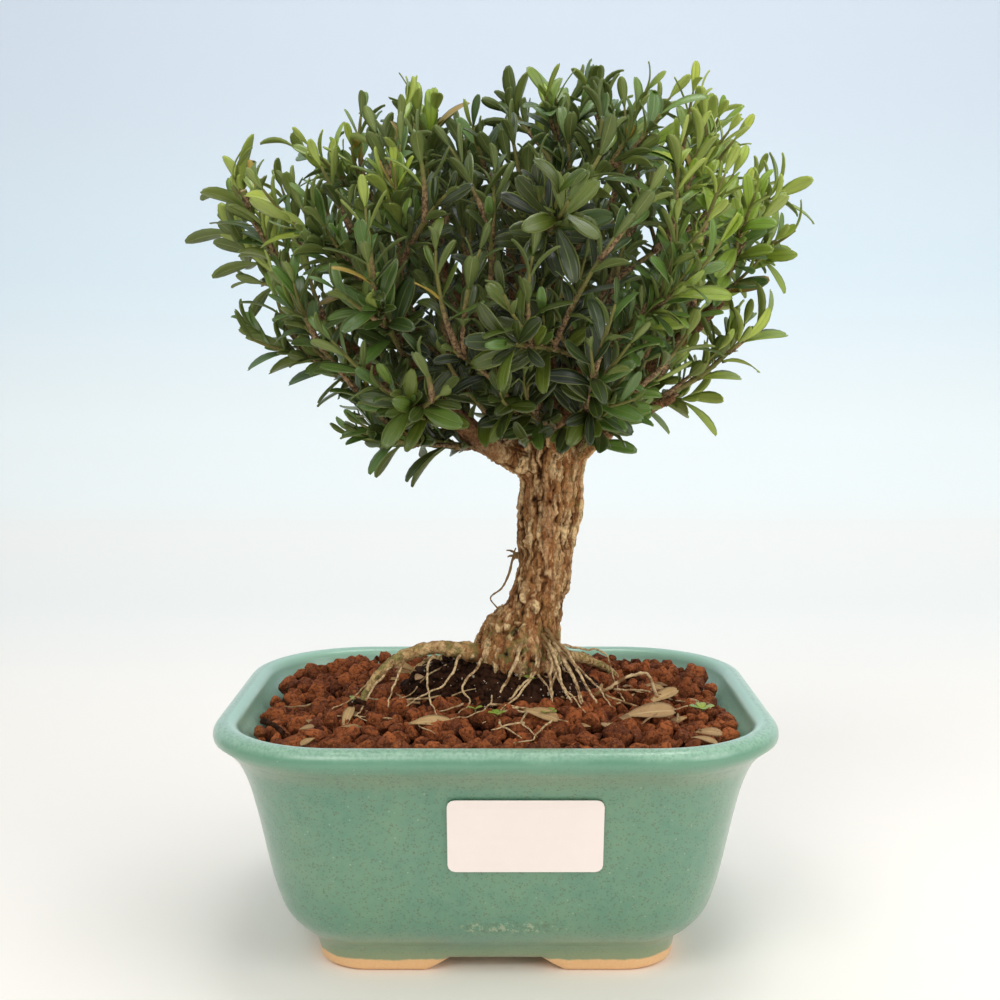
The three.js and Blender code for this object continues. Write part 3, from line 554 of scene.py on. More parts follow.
def glaze_look(graph):
    where = graph.place()
    x, y, z = place_in_mm(graph)
    patches = graph.group(mottle, {"Size": 22.0, "Softness": 0.2})[0]
    colour = graph.between(patches, (82, 136, 111), (104, 146, 115))
    cloudy = graph.group(mottle, {"Size": 3.2, "Softness": 0.16})[0]
    colour = graph.stain(colour, cloudy, (120, 154, 124), 0.3)
    # Painted shade: an olive band under the lip stands in for the shade the lip casts; the glaze is thick
    # and bright on the lip itself
    wavy = graph.times(graph.math("SUBTRACT", graph.noise(where, 14), 0.5), 3.0)
    level = graph.math("ADD", z, wavy)
    under_lip_painted_shade = graph.times(graph.span(level, 55.0, 58.5), graph.span(level, 62.8, 60.2))
    colour = graph.stain(colour, under_lip_painted_shade, (130, 134, 102), 0.3)
    lip = graph.span(level, 61.5, 63.5)
    colour = graph.stain(colour, lip, (96, 150, 122), 0.7)
    # Painted highlight: the lip's top is paler in streaks, partly its own pale glaze and partly the light's
    # sheen painted in
    streaks = graph.span(graph.noise(where, 0.9, 3.0, 0.6), 0.35, 0.6, 0.35, 0.75)
    pale_lip_and_painted_highlight = graph.times(graph.span(level, 64.5, 67.5), streaks)
    colour = graph.stain(colour, pale_lip_and_painted_highlight, (174, 212, 184))
    # Painted light: the inner wall is painted paler, as if lit where the lip shades it
    outward = graph.node("Mapping", {"Vector": where, "Scale": (1.0, 1.0, 0.0)}).outputs[0]
    normal = graph.node("TexCoord").outputs["Normal"]
    painted_light_facing = graph.node("VectorMath", {0: outward, 1: normal}, operation="DOT_PRODUCT").outputs["Value"]
    colour = graph.stain(colour, graph.span(painted_light_facing, 0.0, -0.02), (166, 212, 186), 0.9)
    # Dark iron specks, small and less small, and a few pale ones
    for size, share in ((0.75, 0.6), (1.7, 0.55)):
        specks = graph.span(graph.cells(where, size), 0.34 / size**0.9, 0.14 / size**0.9)
        chosen = graph.span(graph.noise(where, 1.6 * size, 0.0), 0.38, 0.5)
        chosen = graph.times(chosen, graph.span(z, 66.0, 60.0))
        dark = graph.times(graph.times(specks, chosen), share)
        colour = graph.stain(colour, dark, (84, 88, 60))
    pale = graph.span(graph.cells(where, 3.1), 0.1, 0.05)
    colour = graph.stain(colour, pale, (176, 194, 166), 0.4)
    # A crawled streak low on the front
    streak = graph.times(graph.span(graph.math("ABSOLUTE", graph.math("SUBTRACT", x, 2.5)), 15.0, 8.0),
                        graph.span(graph.math("ABSOLUTE", graph.math("SUBTRACT", z, 16.0)), 2.6, 0.7))
    streak = graph.times(streak, graph.span(y, -30.0, -38.0))
    crawl = graph.noise(where, 1.5, 4.0, 0.7)
    pale_streak = graph.times(streak, graph.span(crawl, 0.53, 0.6))
    dark_streak = graph.times(streak, graph.span(crawl, 0.47, 0.4))
    colour = graph.stain(colour, pale_streak, (178, 184, 150), 0.75)
    colour = graph.stain(colour, dark_streak, (84, 104, 72), 0.5)
    # Bare clay on the foot's lower edge and underneath
    edge = graph.math("ADD", z, graph.times(graph.noise(where, 5), 1.4))
    bare = graph.span(edge, 4.4, 3.8)
    clay = graph.between(graph.noise(where, 0.8, 4.0), (236, 182, 122), (248, 202, 148))
    colour = graph.stain(colour, graph.span(edge, 10.5, 4.4), (150, 158, 118), 0.75)
    colour = graph.mix(bare, colour, clay)
    ripple = graph.math("ADD", graph.times(graph.noise(where, 5.0), 0.6),
                        graph.times(graph.noise(where, 0.6, 3.0), 0.2))
    ripple = graph.math("SUBTRACT", ripple, graph.times(specks, 0.08))
    ripple = graph.math("ADD", ripple, graph.times(pale_streak, 0.5))
    rough = graph.span(graph.noise(where, 2.5, 3.0), 0.3, 0.7, 0.28, 0.38)
    return {
        "Base Color": colour,
        "Roughness": graph.math("ADD", rough, graph.times(bare, 0.5)),
        "Normal": graph.bump(ripple, 0.3, 0.5),
    }


def paper_look(graph):
    where = graph.place()
    fibres = graph.noise(where, 0.4, 5.0)
    stain = graph.group(mottle, {"Size": 16.0, "Softness": 0.3})[0]
    colour = graph.between(stain, (251, 238, 232), (248, 234, 228))
    return {"Base Color": colour, "Roughness": graph.span(fibres, 0.3, 0.7, 0.55, 0.7),
            "Normal": graph.bump(fibres, 0.02, 0.5)}


def granule_look(graph):
    where = graph.place()
    tone = graph.value("tone")
    crumb, pits = graph.group(grit, {"Size": 0.9})[:2]
    colour = graph.between(tone, (72, 34, 18), (200, 114, 66))
    colour = graph.stain(colour, graph.noise(where, 1.6, 5.0, 0.6), (128, 68, 38), 0.35)
    # Some stones are damp and dusky
    dusky = graph.span(graph.noise(where, 6.5, 2.0), 0.5, 0.58)
    colour = graph.stain(colour, dusky, (84, 48, 40), 0.5)
    colour = graph.stain(colour, pits, (52, 25, 15), 0.6)
    # Pale specks on the stones: partly dust, partly painted glints of light
    dust_and_painted_glints = graph.math("MAXIMUM", graph.span(graph.noise(where, 0.42, 3.0), 0.58, 0.68),
                      graph.span(graph.cells(where, 1.9), 0.16, 0.1))
    colour = graph.stain(colour, dust_and_painted_glints, (206, 136, 80), 0.4)
    return {"Base Color": colour, "Roughness": graph.span(crumb, 0.0, 0.7, 0.95, 0.8),
            "Normal": graph.bump(crumb, 0.6, 1.0)}


def peat_look(graph):
    where = graph.place()
    crumb, pits = graph.group(grit, {"Size": 1.3})[:2]
    colour = graph.between(graph.noise(where, 3.0, 5.0), (36, 20, 12), (80, 48, 29))
    colour = graph.stain(colour, pits, (22, 12, 8), 0.8)
    specks = graph.math("MAXIMUM", graph.span(graph.cells(where, 1.7), 0.13, 0.08), graph.value("tone"))
    colour = graph.stain(colour, specks, (190, 176, 156))
    return {"Base Color": colour, "Roughness": graph.span(crumb, 0.0, 0.7, 0.98, 0.85),
            "Normal": graph.bump(crumb, 0.7, 1.0)}


def bark_look(graph):
    where = graph.place()
    depth = graph.value("depth")
    young = graph.value("young")
    x, _, z = place_in_mm(graph)
    grain = graph.node("Mapping", {"Vector": where, "Scale": (1.0, 1.0, 0.28)}).outputs[0]
    streaks = graph.noise(grain, 1.3, 5.0, 0.65)
    crumb, pits = graph.group(grit, {"Size": 0.8})[:2]
    flake = graph.value("flake")
    tan = graph.between(graph.span(flake, 0.2, 0.9), (184, 132, 82), (250, 214, 160))
    colour = graph.mix(graph.span(depth, 0.25, 0.8), linear(134, 88, 50), tan)
    broad = graph.node("Mapping", {"Vector": where, "Scale": (1.0, 1.0, 0.14)}).outputs[0]
    rust = graph.span(graph.noise(broad, 4.0, 3.0), 0.5, 0.6)
    colour = graph.stain(colour, rust, (164, 98, 56), 0.5)
    colour = graph.stain(colour, graph.span(streaks, 0.5, 0.34), (92, 58, 32), 0.8)
    colour = graph.stain(colour, graph.span(streaks, 0.56, 0.68), (244, 210, 156), 0.75)
    colour = graph.stain(colour, pits, (70, 44, 26), 0.4)
    colour = graph.stain(colour, graph.span(depth, 0.36, 0.06), (46, 29, 17))
    # Grey-green lichen on the right side and moss round the base
    side = graph.times(graph.span(x, 14.0, 24.0), 0.45)
    low = graph.span(z, 96.0, 78.0)
    patches = graph.span(graph.noise(where, 2.6, 4.0), 0.5, 0.62)
    lichen = graph.times(graph.math("MAXIMUM", side, low), patches)
    colour = graph.stain(colour, lichen, (122, 122, 70), 0.75)
    ashen = graph.span(graph.noise(where, 0.9, 5.0, 0.7), 0.3, 0.7)
    branch = graph.between(ashen, (64, 40, 25), (150, 110, 76))
    # The surface roots are paler and more yellow than the limbs
    skin = graph.span(graph.noise(where, 1.0, 5.0, 0.7), 0.34, 0.6)
    surface_root = graph.between(skin, (104, 74, 42), (222, 188, 130))
    surface_root = graph.stain(surface_root, lichen, (110, 116, 58), 0.6)
    branch = graph.mix(graph.span(z, 92.0, 84.0), branch, surface_root)
    colour = graph.mix(young, colour, branch)
    return {"Base Color": colour, "Roughness": graph.span(crumb, 0.0, 0.7, 0.95, 0.78),
            "Normal": graph.bump(graph.math("ADD", crumb, streaks), 0.5, 0.9)}


def root_look(graph):
    where = graph.place()
    skin = graph.noise(where, 1.1, 4.0, 0.65)
    colour = graph.between(graph.span(skin, 0.35, 0.6), (156, 122, 82), (224, 196, 150))
    colour = graph.stain(colour, graph.span(graph.noise(where, 3.4, 2.0), 0.56, 0.68), (128, 92, 58))
    old = graph.between(skin, (92, 70, 44), (168, 134, 88))
    colour = graph.mix(graph.span(graph.value("age"), 0.4, 0.1), colour, old)
    return {"Base Color": colour, "Roughness": graph.span(skin, 0.3, 0.7, 0.65, 0.85),
            "Normal": graph.bump(skin, 0.2, 0.8)}


def twig_look(graph):
    where = graph.place()
    age = graph.value("age")
    flakes = graph.noise(where, 0.8, 5.0, 0.7)
    colour = graph.between(graph.span(flakes, 0.4, 0.62), (72, 50, 30), (170, 138, 98))
    colour = graph.stain(colour, graph.span(age, 0.3, 0.65), (112, 112, 50), 0.9)
    cut = graph.span(age, 1.5, 1.9)
    colour = graph.stain(colour, cut, (222, 196, 150))
    return {"Base Color": colour, "Roughness": graph.span(flakes, 0.3, 0.7, 0.7, 0.85),
            "Normal": graph.bump(flakes, 0.25, 0.8)}


def leaf_veins(graph):
    """Pale midrib and faint side veins, from a leaf's own across and along values."""
    across = graph.math("ABSOLUTE", graph.value("across"))
    along = graph.value("along")
    rib = graph.span(across, 0.1, 0.02)
    slant = graph.math("ADD", along, graph.times(across, -0.22))
    wave = graph.math("SINE", graph.times(slant, 120.0))
    return rib, graph.span(wave, 0.2, 1.0), across


def leaf_face_look(graph):
    where = graph.place()
    age = graph.value("age")
    tint = graph.value("tint")
    rib, veins, across = leaf_veins(graph)
    # The tint is low inside the crown, so those leaves are darker: painted shade, and partly older leaves
    strong = graph.times(tint, tint)
    colour = graph.between(strong, (12, 27, 6), (106, 123, 24))
    bright = graph.between(tint, (138, 178, 54), (196, 206, 64))
    colour = graph.stain(colour, graph.span(age, 0.0, 0.25), (86, 121, 44))
    colour = graph.mix(graph.span(age, 0.2, 0.9), colour, bright)
    colour = graph.stain(colour, graph.span(graph.value("faded"), 0.5, 0.9), (168, 138, 54))
    colour = graph.stain(colour, graph.noise(where, 2.6, 3.0), (46, 60, 28), 0.3)
    colour = graph.stain(colour, rib, (122, 136, 60), 0.4)
    colour = graph.stain(colour, graph.span(across, 0.84, 0.95), (146, 158, 80), 0.65)
    height = graph.math("ADD", graph.times(veins, 0.15), graph.times(rib, -1.0))
    return {"Base Color": colour, "Roughness": graph.span(graph.noise(where, 3.0), 0.3, 0.7, 0.36, 0.5),
            "Normal": graph.bump(height, 0.14, 0.7)}


def leaf_back_look(graph):
    where = graph.place()
    age = graph.value("age")
    rib, veins, _ = leaf_veins(graph)
    colour = graph.between(graph.noise(where, 3.2), (84, 98, 44), (108, 122, 62))
    colour = graph.stain(colour, graph.span(age, 0.1, 0.9), (168, 184, 84))
    colour = graph.stain(colour, graph.span(graph.value("faded"), 0.5, 0.9), (176, 150, 66))
    colour = graph.stain(colour, rib, (156, 168, 100), 0.6)
    height = graph.math("ADD", graph.times(veins, -0.1), rib)
    return {"Base Color": colour, "Roughness": graph.span(graph.noise(where, 2.0), 0.3, 0.7, 0.5, 0.6),
            "Normal": graph.bump(height, 0.14, 0.7)}


def dry_leaf_look(graph):
    where = graph.place()
    rib, veins, _ = leaf_veins(graph)
    colour = graph.between(graph.noise(where, 3.5, 4.0), (176, 134, 84), (228, 196, 138))
    colour = graph.stain(colour, graph.value("tint"), (172, 132, 96), 0.7)
    colour = graph.stain(colour, rib, (236, 212, 160), 0.5)
    spots = graph.span(graph.noise(where, 1.1, 3.0), 0.6, 0.7)
    colour = graph.stain(colour, spots, (96, 60, 34), 0.5)
    height = graph.math("ADD", veins, graph.noise(where, 1.2, 3.0))
    return {"Base Color": colour, "Roughness": graph.span(graph.noise(where, 2.0), 0.3, 0.7, 0.7, 0.85),
            "Normal": graph.bump(height, 0.15, 0.6)}


def floor_look(graph):
    where = graph.place()
    split = graph.node("SeparateXYZ", {0: where}).outputs
    far = graph.times(graph.span(split[1], 0.15, 0.55), 0.5)
    far = graph.math("MAXIMUM", graph.span(split[2], -0.005, 0.06), far)
    colour = graph.between(far, (255, 248, 239), (249, 255, 254))
    colour = graph.stain(colour, graph.span(split[2], 0.05, 0.26), (226, 242, 251))
    colour = graph.stain(colour, graph.span(split[2], 0.2, 0.45), (218, 230, 243))
    colour = graph.mix(graph.times(graph.noise(where, 400.0), 0.05), colour, (0.8, 0.8, 0.8))
    return {"Base Color": colour, "Roughness": graph.span(graph.noise(where, 60.0), 0.3, 0.7, 0.6, 0.7)}


glaze = new_material("glaze", glaze_look, **{"Coat Weight": 0.8, "Coat Roughness": 0.28})
paper = new_material("paper", paper_look)
DULL = {"Specular IOR Level": 0.15}
granule_clay = new_material("granule_clay", granule_look, **DULL)
peat = new_material("peat", peat_look, **DULL)
bark = new_material("bark", bark_look, **DULL)
root_skin = new_material("root_skin", root_look, **DULL)
twig_bark = new_material("twig_bark", twig_look)
leaf_face = new_material("leaf_face", leaf_face_look, **{"Coat Weight": 0.3, "Coat Roughness": 0.22})
leaf_back = new_material("leaf_back", leaf_back_look)
dry_leaf = new_material("dry_leaf", dry_leaf_look)
floor_cloth = new_material("floor", floor_look)
FOLIAGE = [leaf_face, leaf_back, twig_bark]


# Camera, light and floor

def set_stage():
    camera = bpy.data.objects.new("camera", bpy.data.cameras.new("camera"))
    camera.data.lens = LENS
    camera.data.sensor_width = SENSOR
    camera.data.clip_start = 0.01
    camera.location = (np.array(CAMERA_PLACE) + SHIFT) / 1000
    camera.rotation_euler = (math.radians(90 - CAMERA_PITCH), 0, 0)
    bpy.context.scene.collection.objects.link(camera)
    bpy.context.scene.camera = camera

    bpy.context.scene.view_settings.view_transform = "Standard"
    world = bpy.data.worlds.new("studio")
    world.use_nodes = True
    world.node_tree.nodes["Background"].inputs[0].default_value = (0.95, 0.975, 1.0, 1)
    world.node_tree.nodes["Background"].inputs[1].default_value = 0.45
    bpy.context.scene.world = world
    lamps = [
        ("key", (-0.45, -0.8, 0.95), 0.7, 5.3, (1.0, 0.985, 0.96)),
        ("fill", (0.85, -0.55, 0.6), 0.9, 5.0, (1.0, 0.99, 0.98)),
        ("top", (0.1, 0.05, 1.15), 0.6, 4.4, (0.98, 0.99, 1.0)),
    ]
    for name, spot, size, power, tint in lamps:
        light = bpy.data.lights.new(name, "AREA")
        light.shape = "DISK"
        light.size = size
        light.energy = power
        light.color = tint
        lamp = bpy.data.objects.new(name, light)
        lamp.location = spot
        aim = Vector((0, 0, 0.12)) - Vector(spot)
        lamp.rotation_euler = aim.to_track_quat("-Z", "Y").to_euler()
        bpy.context.scene.collection.objects.link(lamp)

    # A floor that sweeps up behind the object
    line = [(-1500, 0), (500, 0)]
    line += [(500 + 400 * math.sin(a), 400 - 400 * math.cos(a)) for a in np.linspace(0.1, math.pi / 2, 12)]
    line += [(900, 2200)]
    points = [(x, y, z) for y, z in line for x in (-2200, 2200)]
    faces = [(2 * i, 2 * i + 1, 2 * i + 3, 2 * i + 2) for i in range(len(line) - 1)]
    floor = make_piece("floor", points, faces, [floor_cloth])


# Pot

def pot_corner(half_width):
    share = (half_width - FOOT_HALF_WIDTH) / (RIM_HALF_WIDTH - FOOT_HALF_WIDTH)
    return FOOT_CORNER + share * (RIM_CORNER - FOOT_CORNER)


def pot_plan(half_width, z, corner=None, side_steps=22, corner_steps=14):
    """A rounded rectangle, with as many points on each ring, that starts at the right front."""
    half_depth = half_width - DEPTH_LESS
    corner = pot_corner(half_width) if corner is None else corner
    ring = []
    for quarter in range(4):
        sx = 1 if quarter in (0, 3) else -1
        sy = 1 if quarter < 2 else -1
        middle = np.array([sx * (half_width - corner), sy * (half_depth - corner)])
        for i in range(corner_steps + 1):
            a = (quarter + i / corner_steps) * math.pi / 2
            ring.append(middle + corner * np.array([math.cos(a), math.sin(a)]))
        following = [(-1, 1), (-1, -1), (1, -1), (1, 1)][quarter]
        start = ring[-1]
        a = (quarter + 1) * math.pi / 2
        target = np.array([following[0] * (half_width - corner), following[1] * (half_depth - corner)])
        target = target + corner * np.array([math.cos(a), math.sin(a)])
        for i in range(1, side_steps):
            ring.append(start + (target - start) * i / side_steps)
    ring = np.array(ring)
    return np.column_stack([ring, np.full(len(ring), float(z))])


def foot_lift(points, inward):
    """How high the pot's underside lies: up in the notches and inside the foot ring."""
    x, y = np.abs(points[:, 0]), np.abs(points[:, 1])
    front = x < NOTCH_FOOT / 2 + 1
    lift_x = 1 - smooth_step(x, NOTCH_TOP / 2, NOTCH_FOOT / 2)
    lift_y = 1 - smooth_step(y, NOTCH_TOP / 2 * NOTCH_SIDE_SHARE, NOTCH_FOOT / 2 * NOTCH_SIDE_SHARE)
    on_side = x > FOOT_HALF_WIDTH - FOOT_RING - 3
    lift = np.where(front, lift_x, np.where(on_side, lift_y, 0))
    return FLOOR_UNDER * np.maximum(lift, smooth_step(inward, FOOT_RING - 1.4, FOOT_RING + 0.4))


def make_pot():
    profile = catmull([(width, 0, z) for z, width in OUTER_WALL], 46)
    rings = []
    under = [30, 20, 13, FOOT_RING + 0.6, FOOT_RING, FOOT_RING - 0.6, FOOT_RING - 1.2, 6, 3, 1.2, 0.5, 0.15]
    for inward in under:
        ring = pot_plan(48.0 - inward, 0, max(FOOT_CORNER - inward * 0.7, 2.0))
        ring[:, 2] = foot_lift(ring, inward) + 0.5 * max(0.0, 1.2 - inward) ** 2
        rings.append(ring)
    for width, _, z in profile:
        ring = pot_plan(width, z)
        ring[:, 2] = np.maximum(z, foot_lift(ring, 0) + 0.7 + 0.9 * z / (z + 3.0))
        rings.append(ring)
    for a in np.radians(np.linspace(-35, 180, 15)[1:]):
        width = RIM_HALF_WIDTH - LIP_RADIUS + LIP_RADIUS * math.cos(a)
        rings.append(pot_plan(width, LIP_HEIGHT + LIP_RADIUS * math.sin(a)))
    inside = catmull([(width, 0, z) for z, width in INNER_WALL], 14)
    rings.extend(pot_plan(width, z) for width, _, z in inside[1:])
    for width in (44, 34, 22):
        rings.append(pot_plan(width, FLOOR_TOP))
    pot = make_piece("glazed_pot", np.concatenate(rings), closed_faces(len(rings), len(rings[0])), [glaze])
    drills = Pile()
    for side in (-1, 1):
        path = np.array([(side * DRAIN_OFFSET, 0, z) for z in (-4.0, 20.0)])
        add_tube(drills, path, [DRAIN_RADIUS] * 2, 40)
    drill = drills.piece("drill", [])
    cut = pot.modifiers.new("drain_holes", "BOOLEAN")
    cut.object = drill
    cut.operation = "DIFFERENCE"
    bake_modifiers(pot)
    bpy.data.objects.remove(drill)
    pot.data.polygons.foreach_set("use_smooth", np.ones(len(pot.data.polygons), bool))
    pot.data.set_sharp_from_angle(angle=math.radians(50))
    place(pot, "glaze", "pot")


# Soil

def heap_height(x, y):
    """The bed of granules, highest round the trunk."""
    away = np.hypot(x - HEAP_X, 1.25 * y) / HEAP_REACH
    return HEAP_EDGE + HEAP_RISE * np.exp(-(away**2))


def inside_wall(x, y, half_width):
    half_depth = half_width - DEPTH_LESS
    corner = pot_corner(half_width)
    ax = np.maximum(np.abs(x) - (half_width - corner), 0)
    ay = np.maximum(np.abs(y) - (half_depth - corner), 0)
    inside = (np.abs(x) < half_width) & (np.abs(y) < half_depth)
    return inside & (np.hypot(ax, ay) < corner)


def ball_radius(z):
    return read_table(BALL_RINGS, (z - BALL_LOW) / (BALL_TOP - BALL_LOW))


def ball_away(x, y):
    return np.hypot(x - BALL_X, (y - BALL_Y) / BALL_DEPTH)


def peat_height(x, y):
    return read_table(PEAT_SLOPE, ball_away(x, y))


def granule_shapes(subdivisions):
    """A few chipped, crumbly stones, to be turned and stretched."""
    shapes = []
    for seed in range(STONE_KINDS):
        ball = bmesh.new()
        bmesh.ops.create_icosphere(ball, subdivisions=subdivisions, radius=1)
        points = np.array([v.co for v in ball.verts])
        faces = [tuple(v.index for v in face.verts) for face in ball.faces]
        ball.free()
        rng = draws(70 + seed)
        for _ in range(7):
            chip = unit(rng.normal(size=3))
            over = 0.9 * np.maximum(points @ chip - rng.uniform(0.55, 0.88), 0)
            points = points - np.outer(over, chip)
        lumps = 0.24 * soft_noise(points + 3 * seed, 0.8, seed + 50)
        crumbs = 0.17 * soft_noise(points, 0.34, seed + 90)
        shapes.append((points * (1.1 + lumps + crumbs)[:, None], faces))
    return shapes


def random_turn(rng):
    q = rng.normal(size=4)
    w, x, y, z = q / np.linalg.norm(q)
    return np.array([
        [1 - 2 * (y * y + z * z), 2 * (x * y - z * w), 2 * (x * z + y * w)],
        [2 * (x * y + z * w), 1 - 2 * (x * x + z * z), 2 * (y * z - x * w)],
        [2 * (x * z - y * w), 2 * (y * z + x * w), 1 - 2 * (x * x + y * y)],
    ])


def make_granules():
    rng = draws(11)
    shapes = {"front": granule_shapes(3), "back": granule_shapes(2)}
    piles = {"front": Pile(), "back": Pile()}
    for j in range(-14, 15):
        for i in range(-17, 18):
            x = (i + 0.5 * (j % 2)) * GRANULE_STEP + rng.uniform(-1.2, 1.2)
            y = (j + 0.35) * GRANULE_STEP * 0.87 + rng.uniform(-1.0, 1.0)
            size = rng.uniform(*GRANULE_SIZES)
            lift, tone, shape = rng.uniform(-1.2, 1.2), rng.random(), rng.integers(STONE_KINDS)
            turn, stretch = random_turn(rng), rng.uniform(0.72, 1.2, 3)
            if not inside_wall(x, y, 66.0 - size * 0.9) or ball_away(x, y) < 25.0:
                continue
            side = "front" if y < 14 else "back"
            points, faces = shapes[side][shape]
            points = (points * stretch) @ turn.T * size
            z = heap_height(x, y) + lift + 0.2 + BACK_RISE * smooth_step(y, 0, 25)
            # Painted shade: each stone is darker towards its underside, on top of its own random tone
            tone_and_painted_shade = np.clip(0.1 + 0.55 * tone + 0.35 * points[:, 2] / size, 0, 1)
            piles[side].add(points + (x, y, z), faces, tone=tone_and_painted_shade)
    small = granule_shapes(2)
    for _ in range(SMALL_GRANULES):
        x, y = rng.uniform(-62, 62), rng.uniform(-50, 50)
        size = rng.uniform(*SMALL_SIZES)
        turn, shape, tone = random_turn(rng), rng.integers(STONE_KINDS), rng.random()
        if not inside_wall(x, y, 64.5 - size) or ball_away(x, y) < 27.0:
            continue
        points, faces = small[shape]
        z = heap_height(x, y) + rng.uniform(-2.0, 1.4) + BACK_RISE * smooth_step(y, 0, 25)
        piles["front" if y < 6 else "back"].add(points @ turn.T * size + (x, y, z), faces, tone=tone)
    for side, pile in piles.items():
        piece = pile.piece("granules_" + side, [granule_clay], smooth=False)
        place(piece, "granules", "granules")


def make_granule_bed():
    """The filling under the top layer, down to the pot's floor."""
    rings = []
    for share in (1, 0.97, 0.9, 0.8, 0.7, 0.6, 0.5, 0.4, 0.3, 0.2, 0.1):
        ring = pot_plan(64.4, 0, None, 14, 8)
        ring[:, :2] *= share
        ring[:, 2] = heap_height(ring[:, 0], ring[:, 1]) - BED_DROP + 0.5 * soft_noise(ring, 3.0, 5)
        rings.append(ring)
    for width, z in ((64.0, 58.0), (58.0, 40.0), (51.0, 16.0), (46.0, FLOOR_TOP + 0.3)):
        rings.insert(0, pot_plan(width, z, None, 14, 8))
    points = np.concatenate(rings)
    faces = closed_faces(len(rings), len(rings[0]))
    # The bed takes tone 0, the darkest clay colour, as painted shade in the gaps between the granules above
    bed = make_piece("granule_bed", points, faces, [granule_clay], values={"tone": np.zeros(len(points))})
    place(bed, "granules", "granules")


def make_root_ball():
    around, levels = 120, 46
    rings = []
    for z in np.linspace(54, 78.5, levels):
        a = 2 * np.pi * np.arange(around) / around
        radius = ball_radius(z) * (1.03 if z < 70 else 1.0)
        rings.append(np.column_stack([
            BALL_X + radius * np.cos(a),
            BALL_Y + BALL_DEPTH * radius * np.sin(a),
            np.full(around, z),
        ]))
    points = np.concatenate(rings)
    heart = np.array([BALL_X, BALL_Y, 62])
    outward = points - heart
    outward /= np.linalg.norm(outward, axis=1)[:, None]
    lumps = 1.5 * soft_noise(points, 7.0, 31) + 0.9 * soft_noise(points, 2.6, 32)
    lumps = lumps + 0.5 * soft_noise(points, 1.2, 33)
    points = points + outward * lumps[:, None]
    faces = closed_faces(levels, around)
    ball = make_piece("root_ball_soil", points, faces, [peat], values={"tone": np.zeros(len(points))})
    place(ball, "dark_soil", "root_ball")


def make_soil_crumbs():
    """Crumbs and white grit on the dark soil, and two short sticks on the granules."""
    rng = draws(12)
    crumbs = Pile()
    shapes = granule_shapes(2)
    for k in range(SOIL_CRUMBS):
        a, share = rng.uniform(0, 2 * math.pi), rng.uniform(0.2, 1.0)
        reach = 30.5 * math.sqrt(share)
        x, y = BALL_X + reach * math.cos(a), BALL_Y + BALL_DEPTH * reach * math.sin(a)
        points, faces = shapes[rng.integers(STONE_KINDS)]
        white = k % 7 == 0
        size = rng.uniform(0.2, 0.42) if white else rng.uniform(0.4, 1.15)
        spot = (x, y, peat_height(x, y) + (1.0 if white else 0.5))
        crumbs.add(points @ random_turn(rng).T * size + spot, faces, tone=float(white))
    for ends in ([(-62, -30, 66.8), (-55.5, -36, 65.3)], [(-40, -20, 68.6), (-35.5, -22, 69.6)]):
        stick = catmull([ends[0], np.mean(ends, axis=0) + (0, 0.5, 0.6), ends[1]], 12)
        add_tube(crumbs, stick, 0.75 * rng.uniform(0.7, 1.1, 12), 8, tone=0.0)
    place(crumbs.piece("soil_crumbs", [peat], smooth=False), "dark_soil")


def ground_height(x, y):
    """The top of the granules or of the dark soil."""
    return max(peat_height(x, y) + 0.4, heap_height(x, y) + 2.0)


# Wood

